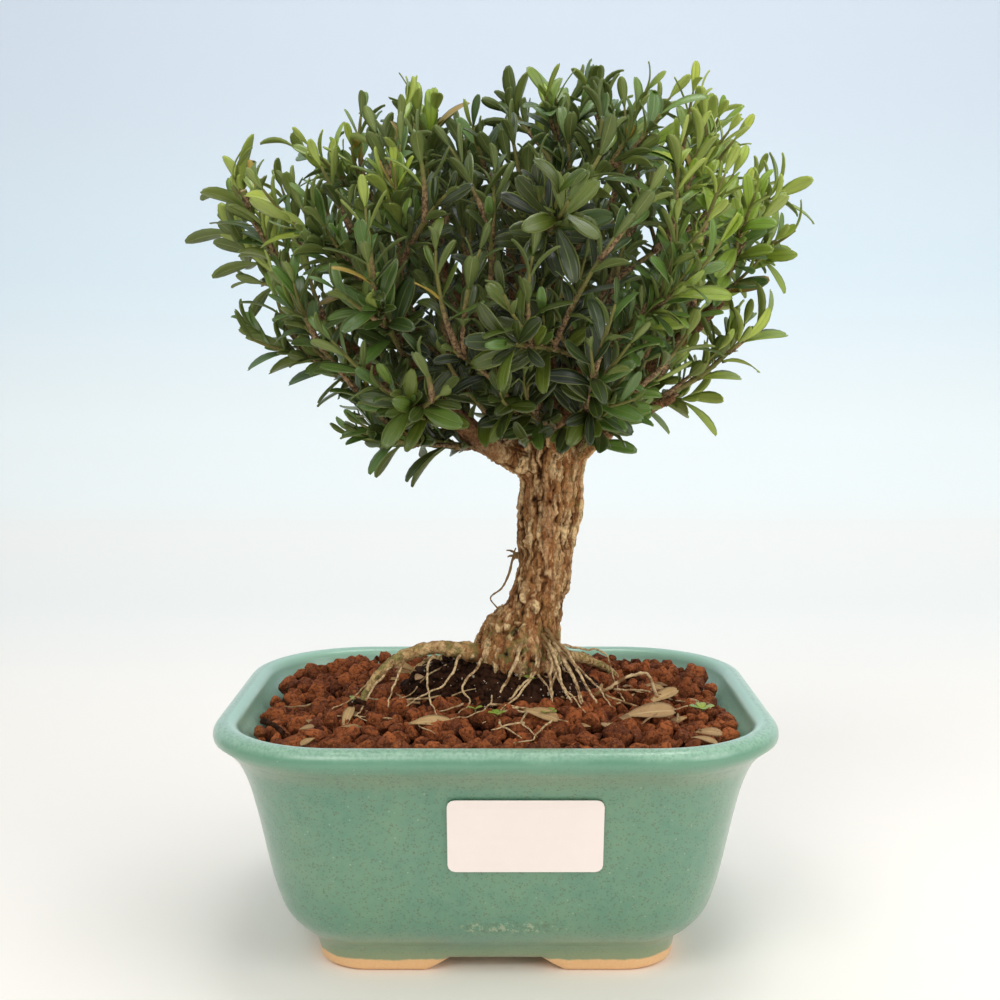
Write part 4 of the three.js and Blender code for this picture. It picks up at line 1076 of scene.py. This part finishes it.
def make_tree():
    pile = Pile()
    trunk = catmull([(x, y, z) for z, x, y, _ in TRUNK], 60)
    radii = read_table(TRUNK, trunk[:, 2], 3)
    add_tube(pile, trunk, radii, 40)
    for path, ends in LIMBS + ROOTS:
        line = catmull(path, 36)
        add_tube(pile, line, np.linspace(ends[0], ends[1], 36), 14)
    tree = pile.piece("tree_wood", [bark])
    fuse = tree.modifiers.new("fuse", "REMESH")
    fuse.mode = "VOXEL"
    fuse.voxel_size = WOOD_MESH / 1000
    bake_modifiers(tree)
    mesh = tree.data

    def trunk_share(points):
        """1 on the trunk, 0 on limbs and roots."""
        heart_x = np.interp(points[:, 2], trunk[:, 2], trunk[:, 0])
        heart_y = np.interp(points[:, 2], trunk[:, 2], trunk[:, 1])
        away = np.hypot(points[:, 0] - heart_x, points[:, 1] - heart_y)
        reach = np.interp(points[:, 2], trunk[:, 2], radii)
        width = 5.0 + 11.0 * smooth_step(points[:, 2], 84, 92)
        share = 1 - smooth_step(away, reach + 2.0, reach + 2.0 + width)
        return share * (1 - smooth_step(points[:, 2], 141, 152))

    # Twice as fine a mesh where the bark is deeply ridged
    shape = bmesh.new()
    shape.from_mesh(mesh)
    corners = np.array([v.co for v in shape.verts]) * 1000 - SHIFT
    ridged = (trunk_share(corners) > 0.6) & (corners[:, 2] > 70)
    edges = [e for e in shape.edges if ridged[e.verts[0].index] and ridged[e.verts[1].index]]
    bmesh.ops.subdivide_edges(shape, edges=edges, cuts=1, use_grid_fill=True)
    shape.to_mesh(mesh)
    shape.free()
    points = read_points(mesh)
    normals = np.empty(points.size)
    mesh.vertices.foreach_get("normal", normals)
    normals = normals.reshape(-1, 3)

    # Corky ridges run up the trunk and fade out along the limbs and roots
    on_trunk = trunk_share(points)
    warp = 0.9 * np.stack([soft_noise(points, 2.4, 60 + k) for k in range(3)], axis=1)
    warp += 0.35 * np.stack([soft_noise(points, 0.9, 64 + k) for k in range(3)], axis=1)
    furrows = np.minimum(1, np.abs(soft_noise((points + warp) * (1, 1, 0.2), 2.9, 41)) / 0.22)
    border, tone = flakes((points + warp) * (1, 1, 0.25), 1.95, 45)
    flake = np.clip(border * 2.6, 0, 1)
    depth = 0.45 * furrows + 0.55 * flake
    lumps = 0.7 * soft_noise(points, 8.0, 47) + 0.35 * soft_noise(points, 2.6, 48)
    scales = 0.5 * (tone - 0.5) * flake + 0.3 * soft_noise(points * (1, 1, 0.5), 0.9, 49)
    rough = 0.4 * soft_noise(points, 1.9, 50) + 0.3 * soft_noise(points, 1.0, 51)
    push = on_trunk * (1.1 * (depth - 0.72) + lumps + scales) + (1 - on_trunk) * (0.25 * lumps + rough)
    points = points + normals * push[:, None]
    mesh.vertices.foreach_set("co", ((points + SHIFT) / 1000).ravel())
    height = points[:, 2]
    limb = np.maximum(smooth_step(height, 140, 152), (1 - on_trunk) * smooth_step(height, 120, 128))
    root = (1 - smooth_step(height, 80, 86)) * (1 - on_trunk)
    branch_cracks = 0.35 + 0.65 * np.minimum(1, np.abs(soft_noise(points, 1.9, 52)) / 0.2)
    write_values(mesh, {
        "depth": on_trunk * depth + (1 - on_trunk) * branch_cracks,
        "flake": tone,
        "young": np.clip(0.95 * limb + 0.85 * root, 0, 1),
    })
    mesh.polygons.foreach_set("use_smooth", np.ones(len(mesh.polygons), bool))
    mesh.update()
    place(tree, "bark", "tree")


def straying(rng, path, count):
    """A smooth path that strays a little further with each step."""
    line = catmull(path, count)
    line[1:] += np.cumsum(rng.normal(0, ROOT_STRAY, (count - 1, 3)), axis=0)
    return line


def make_thin_roots():
    """Thin roots and their forks, and litter of the same kind on the ground."""
    rng = draws(21)
    thin = Pile()
    for path, ends in FAN_ROOTS:
        line = straying(rng, path, 30)
        radii = np.linspace(ends[0], ends[1], 30) * rng.uniform(0.85, 1.2, 30)
        add_tube(thin, line, radii, 8, age=np.repeat(np.linspace(0, 1, 30), 8))
    for path in ROOTLETS:
        line = straying(rng, path, 24)
        radii = np.linspace(rng.uniform(0.27, 0.44), 0.16, 24) * rng.uniform(0.85, 1.2, 24)
        add_tube(thin, line, radii, 7, age=np.repeat(np.linspace(rng.uniform(0.1, 0.5), 1, 24), 7))
    for _ in range(26):
        a = rng.uniform(math.radians(170), math.radians(370))
        reach = rng.uniform(14, 34) if rng.random() < 0.6 else rng.uniform(30, 50)
        spot = np.array([BALL_X + 1.2 * reach * math.cos(a), BALL_Y + 0.85 * reach * math.sin(a)])
        heading = a + rng.normal(0, 0.9)
        line = []
        for _ in range(int(rng.uniform(5, 12))):
            if not inside_wall(spot[0], spot[1], 64.0):
                break
            line.append([*spot, ground_height(*spot) + rng.uniform(0.2, 0.7)])
            heading += rng.normal(0, 0.25)
            spot = spot + 2.0 * np.array([math.cos(heading), math.sin(heading)])
        if len(line) > 4:
            line = catmull(line, 3 * len(line))
            radii = np.linspace(rng.uniform(0.22, 0.42), 0.14, len(line))
            add_tube(thin, line, radii, 6, age=rng.uniform(0.2, 1))
    place(thin.piece("thin_roots", [root_skin]), "bark", "tree")
    make_dead_twig(rng)


def make_dead_twig(rng):
    """A dead twig that hangs at the trunk's left side, with a tuft of short ends."""
    dead = Pile()
    hanging = np.linspace(0.42, 0.2, 36) * rng.uniform(0.8, 1.25, 36)
    add_tube(dead, catmull(DEAD_TWIG, 36), hanging, 7, age=0.0)
    for _ in range(7):
        start = np.array(DEAD_TUFT)
        end = start + rng.normal(0, 1.5, 3) + (-1.6, -0.6, -0.6)
        tuft = catmull([start, (start + end) / 2 + rng.normal(0, 0.5, 3), end], 10)
        add_tube(dead, tuft, np.linspace(0.4, 0.18, 10), 6, age=0.0)
    place(dead.piece("dead_twig", [root_skin]), "bark", "tree")


# Leaves

LEAF_ROWS = np.array([0, 0.12, 0.29, 0.46, 0.62, 0.77, 0.9, 0.98])
LEAF_WIDTHS = np.array([0.14, 0.3, 0.62, 0.88, 1.0, 0.95, 0.7, 0.3])
LEAF_COLUMNS = np.array([-1, -0.5, 0, 0.5, 1])


def leaf_shape():
    """A closed thin leaf: its points as (across, along, up) shares, faces and face slots."""
    rows, columns = len(LEAF_ROWS), len(LEAF_COLUMNS)
    across = (LEAF_WIDTHS[:, None] * LEAF_COLUMNS[None, :]).ravel()
    along = np.repeat(LEAF_ROWS, columns)
    plain = np.tile(LEAF_COLUMNS, rows)
    top = np.column_stack([across, along, plain])
    inner = [r * columns + c for r in range(1, rows) for c in range(1, columns - 1)]
    lower = {index: len(top) + k for k, index in enumerate(inner)}
    points = np.vstack([top, top[inner]])
    below = np.zeros(len(points))
    below[len(top):] = 1
    faces, slots = [], []
    for r in range(rows - 1):
        for c in range(columns - 1):
            quad = (r * columns + c, r * columns + c + 1, (r + 1) * columns + c + 1, (r + 1) * columns + c)
            faces.append(quad)
            slots.append(0)
            faces.append(tuple(lower.get(i, i) for i in reversed(quad)))
            slots.append(1)
    end = (rows - 1) * columns
    closing = [end + c for c in range(columns)] + [lower[end + c] for c in range(columns - 2, 0, -1)]
    faces.append(tuple(closing))
    slots.append(0)
    return points, below, faces, slots


LEAF_POINTS, LEAF_BELOW, LEAF_FACES, LEAF_SLOTS = leaf_shape()


def add_leaf(pile, root, direction, face, length, width, fold, arch, curl, twist, **values):
    """One leaf from its root. Fold lifts its edges, arch bends it along and curl across."""
    side = np.cross(direction, face)
    s, t, column = LEAF_POINTS.T
    half = width / 2
    angle = twist * t
    lift = fold * np.abs(s) * half - curl * (s**2) * half
    rise = arch * length * (4 * (t - t * t) - t * t)
    thick = 0.16 + 0.22 * (1 - np.abs(column)) * (1 - 0.4 * t)
    up = rise + lift - LEAF_BELOW * thick
    sideways = s * half * np.cos(angle) * (1 - 0.12 * fold)
    up = up + s * half * np.sin(angle)
    notch = -0.035 * length * (np.abs(column) < 0.1) * (t > 0.97)
    points = root + np.outer(sideways, side) + np.outer(t * length + notch, direction) + np.outer(up, face)
    pile.add(points, LEAF_FACES, LEAF_SLOTS, across=column, along=t, **values)


def pairings(items):
    """Every way to put the items in pairs."""
    if not items:
        yield []
        return
    first, rest = items[0], items[1:]
    for i, other in enumerate(rest):
        for tail in pairings(rest[:i] + rest[i + 1 :]):
            yield [(first, other)] + tail


def read_blade(edges):
    """A blade of the part from the middles of its six thickness edges."""
    best = None
    for pairs in pairings(list(range(6))):
        gaps = [edges[b] - edges[a] for a, b in pairs]
        lengths = np.array([np.linalg.norm(g) for g in gaps])
        order = np.argsort(lengths)
        shares = lengths[order] / lengths[order[2]]
        bend = sum(1 - abs(unit(gaps[0]) @ unit(g)) for g in gaps[1:])
        score = abs(shares[0] - BLADE_SHARES[0]) + abs(shares[1] - BLADE_SHARES[1]) + 5 * bend
        if best is None or score < best[0]:
            middles = [(edges[pairs[k][0]] + edges[pairs[k][1]]) / 2 for k in order]
            best = (score, middles, lengths[order[2]], gaps[order[2]])
    _, (tip, low, wide), width, side = best
    near, far = wide - low, tip - wide
    length = np.linalg.norm(near) / math.hypot(0.35, BLADE_ARCH * 0.6125)
    face = -unit(far / 0.25 - near / 0.35)
    direction = unit(near + face * BLADE_ARCH * 0.6125 * length)
    side = unit(side)
    face = unit(np.cross(side, direction)) * np.sign(np.cross(side, direction) @ face)
    root = low - direction * 0.4 * length - face * 0.8 * BLADE_ARCH * length
    return {"root": root, "direction": direction, "face": face, "length": length, "width": width}


def read_shoot(node):
    """The blades and the stem's path of one of the part's leafy shoots."""
    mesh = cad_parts[node].data
    points = read_points(mesh)
    ends = np.empty(len(mesh.edges) * 2, int)
    mesh.edges.foreach_get("vertices", ends)
    ends = ends.reshape(-1, 2)
    along = points[ends[:, 1]] - points[ends[:, 0]]
    thin = np.abs(np.linalg.norm(along, axis=1) - BLADE_THICK) < 0.0012
    edges = {}
    for (a, b), vector in zip(ends[thin], along[thin]):
        middle = (points[a] + points[b]) / 2
        vector = unit(vector)
        vector = vector * np.sign(vector[np.argmax(np.abs(vector))])
        edges[tuple(np.round(middle, 2))] = (middle, vector, points[a], points[b])
    groups = []
    for edge in edges.values():
        for group in groups:
            if group[0][1] @ edge[1] > 1 - 1e-6 and np.linalg.norm(group[0][0] - edge[0]) < 22:
                group.append(edge)
                break
        else:
            groups.append([edge])
    whole = [group for group in groups if len(group) == 6]
    blades = [read_blade([e[0] for e in group]) for group in whole]
    taken = {tuple(np.round(p, 2)) for group in whole for e in group for p in e[2:]}
    rest = np.array([p for p in points if tuple(np.round(p, 2)) not in taken])
    knots = []
    left = list(range(len(rest)))
    while left:
        knot, queue = [], [left.pop()]
        while queue:
            i = queue.pop()
            knot.append(i)
            close = [j for j in left if np.linalg.norm(rest[i] - rest[j]) < 2.0]
            for j in close:
                left.remove(j)
            queue.extend(close)
        knots.append(rest[knot].mean(axis=0))
    return blades, knots


LIMB_LINES = np.concatenate([catmull(path, 60)[8:] for path, _ in LIMBS])


def stem_path(knots):
    """Knots in order from the limb out to the tip."""
    away = [np.min(np.linalg.norm(LIMB_LINES - k, axis=1)) for k in knots]
    path = [knots[int(np.argmin(away))]]
    left = [k for k in knots if k is not path[0]]
    while left:
        nearest = min(left, key=lambda k: np.linalg.norm(k - path[-1]))
        left = [k for k in left if k is not nearest]
        path.append(nearest)
    butt = LIMB_LINES[np.argmin(np.linalg.norm(LIMB_LINES - path[0], axis=1))]
    return np.array([butt] + path)


def crown_reach(degrees):
    """How far the crown reaches from its middle, seen from the front."""
    return read_table(CROWN_REACH, (degrees + 90) % 360 - 90)


def in_crown(point):
    """Whether a leaf tip lies in the crown's outline and in the model's box."""
    if np.any(point < BOX_LOW + 0.5) or np.any(point > BOX_HIGH - 0.3):
        return False
    depth = (point[1] - CROWN_MIDDLE[1]) / (CROWN_DEPTH + 8)
    if abs(depth) >= 1:
        return False
    x, z = point[0] - CROWN_MIDDLE[0], point[2] - CROWN_MIDDLE[2]
    reach = crown_reach(math.degrees(math.atan2(z, x))) * math.sqrt(1 - 0.8 * depth**2)
    return math.hypot(x, z) < reach


def leaf_values(rng, tip, brightness, tone=0.5, faded_share=0.005):
    """Leaves inside the crown are dark as older leaves and as painted shade, those near its outline are
    lighter.
    """
    faded = 1.0 if rng.random() < faded_share else 0.0
    away = tip - CROWN_MIDDLE
    share = math.hypot(away[0], away[2]) / crown_reach(math.degrees(math.atan2(away[2], away[0])))
    outer = float(smooth_step(math.hypot(share, away[1] / CROWN_DEPTH), 0.4, 1.0))
    tint = float(np.clip(0.6 * tone + 0.4 * rng.random(), 0, 1)) * (0.45 + 0.65 * outer)
    return {"age": float(np.clip(brightness, 0, 1)), "tint": tint, "faded": faded}


def glow_at(tip, rng):
    """How young a leaf looks: bright at a few tips that face the front, and paler towards the sides as young
    growth, more so on the right as painted light.
    """
    best = max(math.exp(-(((tip[0] - x) ** 2 + (tip[2] - z) ** 2) / 64)) for x, z in BRIGHT_TIPS)
    front = float(smooth_step(-tip[1], -14, -4))
    outer = 0.26 * float(smooth_step(CROWN_MIDDLE[0] - tip[0], 15, 60) + 2.4 * smooth_step(tip[0], 18, 60))
    high = 0.1 * float(smooth_step(tip[2], 205, 235))
    chance = 0.28 if rng.random() < 0.07 else 0.0
    return best * front * rng.uniform(0.7, 1.1) + outer + high + chance + rng.uniform(-0.05, 0.08)


def add_twig_wood(pile, path, radii, sides=6, cut=False):
    age = np.repeat(np.linspace(0.1, 0.9, len(path)), sides)
    if cut:
        age = np.repeat(np.where(np.arange(len(path)) >= len(path) - 1, 2.0, 0.1), sides)
    add_tube(pile, path, radii, sides, 2, age=age, tint=0.5, faded=0.0, across=0.0, along=0.0)


def leafy_twig(pile, rng, path, pair_gap=5.3, size=12.6, butt=0.7, bare=2.0, taken=None):
    """A shoot with leaves in crossed pairs along a path, counted from its tip. Where leaves already
    grow on the path, their places are given as taken and no wood is drawn."""
    radii = np.linspace(butt, 0.34, len(path))
    reach = np.concatenate([[0], np.cumsum(np.linalg.norm(np.diff(path, axis=0), axis=1))])
    along, up, across = frames_along(path)
    spin, tone = rng.uniform(0, math.pi), rng.random()
    centres = []
    last = 0.0
    for pair in range(MOST_PAIRS):
        at = reach[-1] - 0.3 - pair * pair_gap * rng.uniform(0.9, 1.1)
        if at < bare:
            break
        where = np.array([np.interp(at, reach, path[:, k]) for k in range(3)])
        k = min(int(np.searchsorted(reach, at)), len(path) - 1)
        if taken is not None and np.min(np.linalg.norm(taken - where, axis=1)) < PAIR_CLEAR:
            continue
        row = min(pair, 3)
        for half in (0, 1):
            angle = spin + pair * math.pi / 2 + half * math.pi + rng.normal(0, 0.09)
            out = math.cos(angle) * up[k] + math.sin(angle) * across[k]
            rise = math.radians(rng.normal(PAIR_RISES[row], 7))
            lean = unit(math.cos(rise) * along[k] + math.sin(rise) * out + 0.12 * np.array([0, 0, 1]))
            face = unit(along[k] - (along[k] @ lean) * lean)
            face = unit(face + rng.normal(0, 0.09, 3))
            face = unit(face - (face @ lean) * lean)
            blade = size * PAIR_SHARES[row] * rng.uniform(0.78, 1.14)
            tip = where + lean * blade
            if not in_crown(tip) or rng.random() < LOST_LEAVES:
                continue
            glow = glow_at(tip, rng) * PAIR_YOUTH[row]
            add_leaf(pile, where, lean, face, blade, blade * rng.uniform(0.29, 0.37), rng.uniform(0.1, 0.4),
                     rng.normal(0.045, 0.05), rng.uniform(0.0, 0.16), rng.normal(0, 0.14),
                     **leaf_values(rng, tip, glow, tone, 0.02 if tip[2] < 185 else 0.004))
            centres.append(where + 0.55 * blade * lean)
            last = max(last, at + 0.4)
    if centres and taken is None:
        stops = np.linspace(0, last, len(path))
        wood = np.stack([np.interp(stops, reach, path[:, k]) for k in range(3)], axis=1)
        add_twig_wood(pile, wood, radii)
    return centres


def bent_path(start, leaving, end, count=12):
    """From a parent branch: it leaves along the given direction and turns up to its end."""
    length = np.linalg.norm(end - start)
    middle = (start + end) / 2 + 0.2 * length * unit(leaving) - np.array([0, 0, 0.08 * length])
    t = np.linspace(0, 1, count)[:, None]
    return (1 - t) ** 2 * start + 2 * t * (1 - t) * middle + t * t * end


def outward_at(point):
    """The way out of the crown at a point, turned up a little."""
    away = unit((point - (CROWN_MIDDLE - (0, 0, 34))) * (1, 0.55, 1))
    return unit(away + (0, 0, 0.6))


def make_foliage():
    shoots = sorted(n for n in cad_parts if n.startswith("shoot_"))
    leaf_spots, wood, wood_ways = [], [], []
    for path, _ in LIMBS:
        line = catmull(path, 40)
        wood.extend(line[10:])
        wood_ways.extend(np.gradient(line, axis=0)[10:])
    for number, node in enumerate(shoots):
        dress_shoot(number, node, leaf_spots, wood, wood_ways)
    fill_crown(leaf_spots, np.array(wood), np.array(wood_ways))


def dress_shoot(number, node, leaf_spots, wood, wood_ways):
    """One of the part's shoots, with finer leaves in the same places and side twigs of its own."""
    rng = draws(500 + number)
    blades, knots = read_shoot(node)
    pile = Pile()
    path = catmull(stem_path(knots), 26)
    add_twig_wood(pile, path, np.linspace(1.15, 0.42, len(path)), 8)
    tone = rng.random()
    for blade in blades:
        tip = blade["root"] + blade["direction"] * blade["length"]
        add_leaf(pile, blade["root"], blade["direction"], blade["face"], blade["length"] * 0.93,
                 blade["width"] * 0.78, rng.uniform(0.1, 0.3), BLADE_ARCH * rng.uniform(0.7, 1.1),
                 rng.uniform(0.0, 0.15), rng.normal(0, 0.1),
                 **leaf_values(rng, tip, glow_at(tip, rng), tone))
        leaf_spots.append(blade["root"] + 0.55 * blade["length"] * blade["direction"])
    ways = np.gradient(path, axis=0)
    wood.extend(path[3:-2])
    wood_ways.extend(ways[3:-2])
    for k in range(3, len(path) - 2):
        out = unit(np.cross(ways[k], rng.normal(size=3)))
        scale = path[k] + rng.uniform(0.5, 0.9) * out
        scale = np.array([scale, scale + 1.1 * unit(ways[k]) + rng.uniform(0.3, 1.0) * out])
        add_twig_wood(pile, scale, [0.34, 0.07], 4, rng.random() < 0.5)
    for k in range(6, len(path) - 2, 4):
        heading = unit(0.8 * unit(ways[k]) + 0.5 * outward_at(path[k]) + rng.normal(0, 0.26, 3))
        end = path[k] + heading * rng.uniform(14, 24)
        twig = bent_path(path[k], ways[k], end)
        leaf_spots.extend(leafy_twig(pile, rng, twig))
    roots = np.array([blade["root"] for blade in blades])
    leaf_spots.extend(leafy_twig(pile, rng, path, 5.2, 12.4, bare=9.0, taken=roots))
    leaf_spots.extend(leafy_twig(pile, rng, path[-5:], 2.3, 10.5, 0.45, 0.5))
    if number % 3 == 0:
        side = path[-6] + unit(ways[-6] + rng.normal(0, 0.02, 3)) * np.linspace(0, 6, 4)[:, None]
        side = side + (0.9, -0.6, 0.2) * np.linspace(0, 1, 4)[:, None]
        add_twig_wood(pile, side, [0.95, 0.95, 0.9, 0.88], 8, True)
    place(pile.piece("foliage_" + node[-2:], FOLIAGE), "leaf", node)


def fill_crown(leaf_spots, wood, wood_ways):
    """Further twigs wherever the crown is still open."""
    rng = draws(900)
    quarters = {name: Pile() for name in ("front_left", "front_right", "back_left", "back_right")}
    for _ in range(FILL_TRIES):
        depth, turn, share = rng.uniform(-0.95, 0.95), rng.uniform(0, 360), rng.uniform(0.06, 0.86) ** 0.5
        reach = crown_reach(turn) * math.sqrt(1 - 0.8 * depth**2) * share - 6
        end = CROWN_MIDDLE + (reach * math.cos(math.radians(turn)), depth * CROWN_DEPTH,
                              reach * math.sin(math.radians(turn)))
        if end[2] < OPEN_TOP and np.hypot(end[0] - OPEN_X, end[1]) < OPEN_RADIUS:
            continue
        if np.min(np.linalg.norm(np.array(leaf_spots) - end, axis=1)) < FILL_CLEAR + max(0, 1.2 * depth):
            continue
        lower = end - outward_at(end) * FILL_BACK
        away = np.linalg.norm(wood - lower, axis=1)
        k = int(np.argmin(away))
        if np.linalg.norm(wood[k] - end) > FILL_REACH:
            continue
        twig = bent_path(wood[k], wood_ways[k], end)
        name = ("front" if end[1] < 0 else "back") + ("_left" if end[0] < CROWN_MIDDLE[0] else "_right")
        grown = leafy_twig(quarters[name], rng, twig, butt=0.95, bare=4.0)
        leaf_spots.extend(grown)
        if grown:
            wood = np.vstack([wood, twig[3:-2]])
            wood_ways = np.vstack([wood_ways, np.gradient(twig, axis=0)[3:-2]])
    for name, pile in quarters.items():
        place(pile.piece("twigs_" + name, FOLIAGE), "leaf")


# Litter on the ground

def make_fallen_leaves():
    for number, (x, y, turn, length) in enumerate(FALLEN, 1):
        node = "fallen_leaf_" + str(number)
        rng = draws(700 + number)
        low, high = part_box(node)
        z = (low.z + high.z) * 500
        a = math.radians(turn)
        along = np.array([math.cos(a), math.sin(a), 0])
        face = unit(np.array([rng.normal(0, 0.12), -0.75 + rng.normal(0, 0.12), 1]))
        along = unit(along - (along @ face) * face)
        pile = Pile()
        add_leaf(pile, np.array([x, y, z]) - along * length / 2, along, face, length, length * 0.36,
                 rng.uniform(0.2, 0.7), rng.uniform(0.02, 0.08), rng.uniform(0.0, 0.3), rng.normal(0, 0.4),
                 age=0.0, tint=rng.random(), faded=0.0)
        place(pile.piece("dry_leaf_" + str(number), [dry_leaf, dry_leaf]), "dry_leaf", node)


def make_leaf_litter():
    """Scraps of dry leaves among the granules."""
    rng = draws(720)
    litter = Pile()
    for _ in range(40):
        x, y = rng.choice([rng.uniform(-54, 56), rng.uniform(28, 58)]), rng.uniform(-42, 12)
        if not inside_wall(x, y, 62) or abs(x - 7) < 12 and y > -12:
            continue
        along = unit(np.array([rng.normal(), rng.normal(), rng.normal(0, 0.15)]))
        face = unit(np.cross(np.cross(along, (rng.normal(0, 0.3), -0.8 + rng.normal(0, 0.4), 1)), along))
        length = rng.uniform(3, 7.5)
        add_leaf(litter, np.array([x, y, ground_height(x, y) + 0.5]), along, face, length,
                 length * rng.uniform(0.18, 0.4), rng.uniform(0, 0.8), rng.normal(0.03, 0.1),
                 rng.uniform(0, 0.4), rng.normal(0, 0.8), age=0.0, tint=rng.random(), faded=0.0)
    place(litter.piece("leaf_litter", [dry_leaf, dry_leaf]), "dry_leaf")


def make_seedlings():
    rng = draws(730)
    pile = Pile()
    for x, y, size in SEEDLINGS:
        root = np.array([x, y, ground_height(x, y) - 0.5])
        top = root + (rng.normal(0, 0.3), rng.normal(0, 0.3), 1.6 + 0.3 * size)
        add_twig_wood(pile, catmull([root, (root + top) / 2, top], 6), [0.22] * 6)
        turn = rng.uniform(0, math.pi)
        for k in range(4 if size > 2.2 else 2):
            a = turn + k * math.pi / (2 if size > 2.2 else 1)
            along = unit(np.array([math.cos(a), math.sin(a), 0.35]))
            face = unit(np.cross(np.cross(along, (0, 0, 1)), along))
            add_leaf(pile, top, along, face, size, size * 0.9, 0.2, 0.05, 0.1, 0.0,
                     age=0.75, tint=rng.random(), faded=0.0)
    place(pile.piece("seedlings", FOLIAGE), "leaf")


set_stage()
make_pot()
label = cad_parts["label"].data
label.materials.clear()
label.materials.append(paper)
make_granules()
make_granule_bed()
make_root_ball()
make_soil_crumbs()
make_tree()
make_thin_roots()
make_foliage()
make_fallen_leaves()
make_leaf_litter()
make_seedlings()
